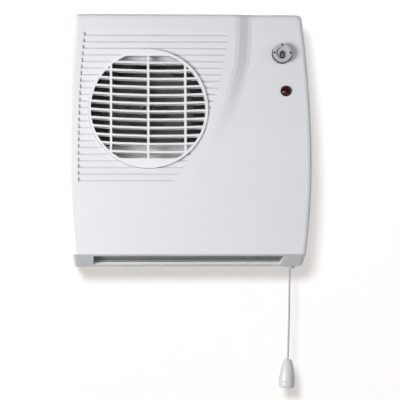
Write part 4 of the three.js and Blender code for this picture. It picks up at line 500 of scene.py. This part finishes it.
def make_cord():
    """A braided cord from just under the bush to just above the knob, bowed a little to the left."""
    curve = bpy.data.curves.new("hanging_cord", "CURVE")
    curve.dimensions = "3D"
    curve.bevel_depth = CORD_RADIUS
    curve.bevel_resolution = 5
    curve.use_fill_caps = True
    spline = curve.splines.new("POLY")
    spline.points.add(CORD_POINTS - 1)
    reach = CORD_VISIBLE - 2 * END_GAP
    points = [cord_point(END_GAP + reach * index / (CORD_POINTS - 1)) for index in range(CORD_POINTS)]
    for target, place in zip(spline.points, points):
        target.co = (*place, 1.0)
    curve.materials.append(braid("cord_braid", "d9d9d7"))
    cord = bpy.data.objects.new("hanging_cord", curve)
    bpy.context.scene.collection.objects.link(cord)
    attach(cord, "pull")
    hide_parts("pull_cord")
    length = sum((b - a).length for a, b in zip(points, points[1:]))
    return cord, points[0], length


def make_knob():
    """A bell-shaped knob, turned in line with the end of the cord."""
    profile = [
        (0.0, -2.0), (1.3, -2.0), (1.3, -0.25), (1.6, 0.0), (2.8, 0.0), (3.45, -0.3), (4.05, -1.0),
        (4.7, -2.4), (5.35, -4.4), (5.9, -6.6), (6.45, -8.8), (6.9, -10.8), (7.3, -12.8),
        (7.65, -14.9), (7.92, -17.0), (8.1, -19.2), (8.19, -21.5), (8.2, -23.2), (8.05, -23.5),
        (8.05, -23.9), (8.18, -24.3), (8.15, -26.4), (7.95, -27.7), (7.6, -28.5), (7.1, -29.05),
        (6.4, -29.35), (5.2, -29.4), (4.6, -29.4), (4.3, -29.1), (4.1, -28.4), (3.6, -28.1), (0.0, -28.1),
    ]
    white = plastic("knob_white", "e0e0e1", 0.3, mottle=0.012, wear=0.5)
    knob = lathe("bell_knob", profile, white)
    tilt = math.atan(2 * CORD_LEAN / CORD_VISIBLE)
    place = Matrix.Translation(cord_point(CORD_VISIBLE)) @ Matrix.Rotation(tilt, 4, "Y")
    settle(knob, place, "pull")
    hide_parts("pull_knob")
    return knob


cord, cord_exit, cord_length = make_cord()
knob = make_knob()
dress_all()

# ---------- setting dial ----------
DIAL_X = 93.75 * MM
DIAL_Z = 88.25 * MM
DIAL_FACE = 6.0 * MM
SKIRT_RADIUS = 9.5 * MM
SKIRT_BACK = -1 * MM
DIGIT_PLACE = (-0.3 * MM, -2.1 * MM, 4.55 * MM)
DIGIT_ACROSS = 1.75 * MM
DIGIT_UP = 3.6 * MM
DIGIT_STROKE = 1.5 * MM
DIGIT_RISE = 1.6 * MM
MARK_WIDTH = 1.7 * MM
MARK_LENGTH = 2.2 * MM
MARK_RISE = 0.6 * MM
MARK_OUT = 8.0 * MM


def make_dial():
    """A disc with a raised rim, its skirt darkened as painted shade, a plain digit in its well and three
    marks on its rim.
    """
    place = on_face(DIAL_X, DIAL_Z)
    grey = plastic("dial_grey", "bec1c5", 0.32, mottle=0.02, wear=0.5)
    # The skirt's dark grey is painted shade on the dial's side wall.
    skirt = metal("dial_skirt_shade", "63666a", 0.34, (1, 1, 1), scale=600, relief=0.3)
    ink = plastic("dial_ink", "17181a", 0.5, mottle=0.08, wear=0.05)
    profile = [
        (0.0, 4.6), (5.3, 4.6), (5.7, 4.68), (5.9, 4.9), (6.02, 5.6), (6.2, 5.93), (6.45, 6.0),
        (8.9, 6.0), (9.3, 5.9), (9.58, 5.65), (9.7, 5.3), (9.78, 4.2), (9.9, 2.0), (9.97, 0.6),
        (10.0, 0.0), (10.0, -3.3), (3.0, -3.3), (3.0, -16.0), (2.6, -16.4), (0.0, -16.4),
    ]
    disc = lathe("dial_disc", profile, grey)
    disc.data.materials.append(skirt)
    # Side-wall faces take the dark skirt colour: painted shade.
    for face in disc.data.polygons:
        out = math.hypot(face.center.x, face.center.y)
        face.material_index = int(out > SKIRT_RADIUS and face.center.z > SKIRT_BACK)
    settle(disc, place, "dial")
    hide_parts("selector_dial")
    digit = rounded_ring("dial_digit", DIGIT_ACROSS, DIGIT_UP, DIGIT_STROKE, DIGIT_RISE, ink)
    settle(digit, place @ Matrix.Translation(DIGIT_PLACE), "dial")
    for index, degrees in enumerate((0, 90, -90)):
        mark = rounded_bar(f"dial_mark_{index + 1}", MARK_WIDTH, MARK_LENGTH, MARK_RISE, ink)
        turn = Matrix.Rotation(math.radians(degrees), 4, "Z")
        settle(mark, place @ turn @ Matrix.Translation((0, MARK_OUT, DIAL_FACE)), "dial")


make_dial()

# ---------- lamp lens ----------
LENS_X = 97.3 * MM
LENS_Z = 50.65 * MM


def make_lens():
    """A low dome on a round flange that sits behind the face."""
    profile = [
        (0.0, 3.2), (1.0, 3.16), (2.0, 3.04), (2.9, 2.8), (3.7, 2.4), (4.35, 1.85), (4.85, 1.15),
        (5.15, 0.35), (5.32, -0.4), (5.4, -1.2), (5.4, -3.6), (7.0, -3.6), (7.0, -4.8), (0.0, -4.8),
    ]
    lens = lathe("red_lens", profile, clear_red("lens_red"), turns=64)
    settle(lens, on_face(LENS_X, LENS_Z), "casing")
    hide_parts("neon_lens")


make_lens()


# ---------- stage and light ----------
STAGE_WHITE = (0.85, 0.85, 0.85, 1)
STAGE_GLOW = 0.42
STAGE_GLOW_COLOUR = (1, 0.93, 0.88, 1)
WALL_Y = 1.5 * MM
WALL_TOP = 3
WALL_HALF_WIDTH = 3
FLOOR_Z = -0.6
FLOOR_FRONT = -5
FLOOR_BACK = 3
FLOOR_HALF_WIDTH = 4
FRONT_PLACE = (-0.4, -2.9, 0.4)
FACE_CENTRE = (0, -0.1, 0)
HEATER_CENTRE = (0, 0, 0)
BACKDROP_COLOUR = (0.965, 0.982, 1)
SURROUND_COLOUR = (0.95, 0.975, 1, 1)


def plane(name, half_width, near, far, material):
    """A flat rectangle between two edges that lie along X, each given by its y and z."""
    corners = [(-half_width, *near), (half_width, *near), (half_width, *far), (-half_width, *far)]
    mesh = bpy.data.meshes.new(name)
    mesh.from_pydata(corners, [], [(0, 1, 2, 3)])
    piece = link(name, mesh, material)
    return piece


def stage_white():
    """Matt white with a glow that only the camera, gloss and glass see, so that it shows as paper white and
    still takes the shadow. From behind it is clear."""
    material, nodes, links, shader = new_material("stage_white")
    shader.inputs["Base Color"].default_value = STAGE_WHITE
    shader.inputs["Roughness"].default_value = 0.9
    shader.inputs["Specular IOR Level"].default_value = 0.0
    path = nodes.new("ShaderNodeLightPath")
    seen = compute(nodes, links, "MAXIMUM", path.outputs["Is Camera Ray"], path.outputs["Is Glossy Ray"])
    shown = compute(nodes, links, "MAXIMUM", seen, path.outputs["Is Transmission Ray"])
    glow = nodes.new("ShaderNodeEmission")
    glow.inputs["Color"].default_value = STAGE_GLOW_COLOUR
    links.new(compute(nodes, links, "MULTIPLY", shown, STAGE_GLOW), glow.inputs["Strength"])
    both = nodes.new("ShaderNodeAddShader")
    links.new(shader.outputs["BSDF"], both.inputs[0])
    links.new(glow.outputs["Emission"], both.inputs[1])
    side = nodes.new("ShaderNodeNewGeometry")
    clear = nodes.new("ShaderNodeBsdfTransparent")
    mix = nodes.new("ShaderNodeMixShader")
    links.new(side.outputs["Backfacing"], mix.inputs["Fac"])
    links.new(both.outputs["Shader"], mix.inputs[1])
    links.new(clear.outputs["BSDF"], mix.inputs[2])
    links.new(mix.outputs["Shader"], nodes["Material Output"].inputs["Surface"])
    return material


def make_stage():
    """A wall behind the heater and a floor. The wall shows and takes the shadow, but holds back no light
    from the heater's back."""
    white = stage_white()
    wall = plane("wall", WALL_HALF_WIDTH, (WALL_Y, FLOOR_Z), (WALL_Y, WALL_TOP), white)
    wall.visible_diffuse = False
    wall.visible_shadow = False
    floor = plane("floor", FLOOR_HALF_WIDTH, (FLOOR_FRONT, FLOOR_Z), (FLOOR_BACK, FLOOR_Z), white)
    return wall, floor


def area_light(name, place, target, size, power, light_colour=(1, 1, 1)):
    data = bpy.data.lights.new(name, "AREA")
    data.shape = "DISK"
    data.size = size
    data.energy = power
    data.color = light_colour
    light = bpy.data.objects.new(name, data)
    light.location = place
    light.rotation_euler = (Vector(target) - Vector(place)).to_track_quat("-Z", "Y").to_euler()
    bpy.context.scene.collection.objects.link(light)
    return light


def aim(light, pieces, state):
    """INCLUDE lights these pieces alone, and EXCLUDE keeps the light and its long shadow off them."""
    chosen = bpy.data.collections.new("aim_of_" + light.name)
    for piece in pieces:
        chosen.objects.link(piece)
    light.light_linking.receiver_collection = chosen
    for item in chosen.collection_objects:
        item.light_linking.link_state = state


def make_world(low, high):
    """A slightly cool surround, as strong as low from below and as high from above."""
    world = bpy.data.worlds.new("studio")
    bpy.context.scene.world = world
    world.use_nodes = True
    nodes, links = world.node_tree.nodes, world.node_tree.links
    background = nodes["Background"]
    place = nodes.new("ShaderNodeTexCoord")
    split = nodes.new("ShaderNodeSeparateXYZ")
    links.new(place.outputs["Generated"], split.inputs["Vector"])
    level = nodes.new("ShaderNodeMapRange")
    level.inputs["From Min"].default_value = -0.5
    level.inputs["From Max"].default_value = 0.7
    level.inputs["To Min"].default_value = low
    level.inputs["To Max"].default_value = high
    links.new(split.outputs["Z"], level.inputs["Value"])
    background.inputs["Color"].default_value = SURROUND_COLOUR
    links.new(level.outputs["Result"], background.inputs["Strength"])


def make_lamps(wall, floor):
    """One lamp rakes the heater from the left, one lights it and the stage from the front, one fills in
    from the right, one lights the back, and one lights the wall alone."""
    side = area_light("side", (-1.0, -1.0, -0.06), FACE_CENTRE, size=0.6, power=15.4)
    aim(side, [wall, floor], "EXCLUDE")
    area_light("front", FRONT_PLACE, HEATER_CENTRE, size=0.22, power=6.3)
    fill = area_light("fill", (1.5, -0.7, 0.3), FACE_CENTRE, size=0.8, power=2.6)
    aim(fill, [wall, floor], "EXCLUDE")
    rear = area_light("rear", (0.5, 2.6, 0.5), HEATER_CENTRE, size=1.0, power=22)
    aim(rear, [wall, floor], "EXCLUDE")
    backdrop = area_light("backdrop", FRONT_PLACE, HEATER_CENTRE, 0.42, 36.5, BACKDROP_COLOUR)
    aim(backdrop, [wall], "INCLUDE")


wall, floor = make_stage()
make_world(low=0.27, high=0.26)
make_lamps(wall, floor)
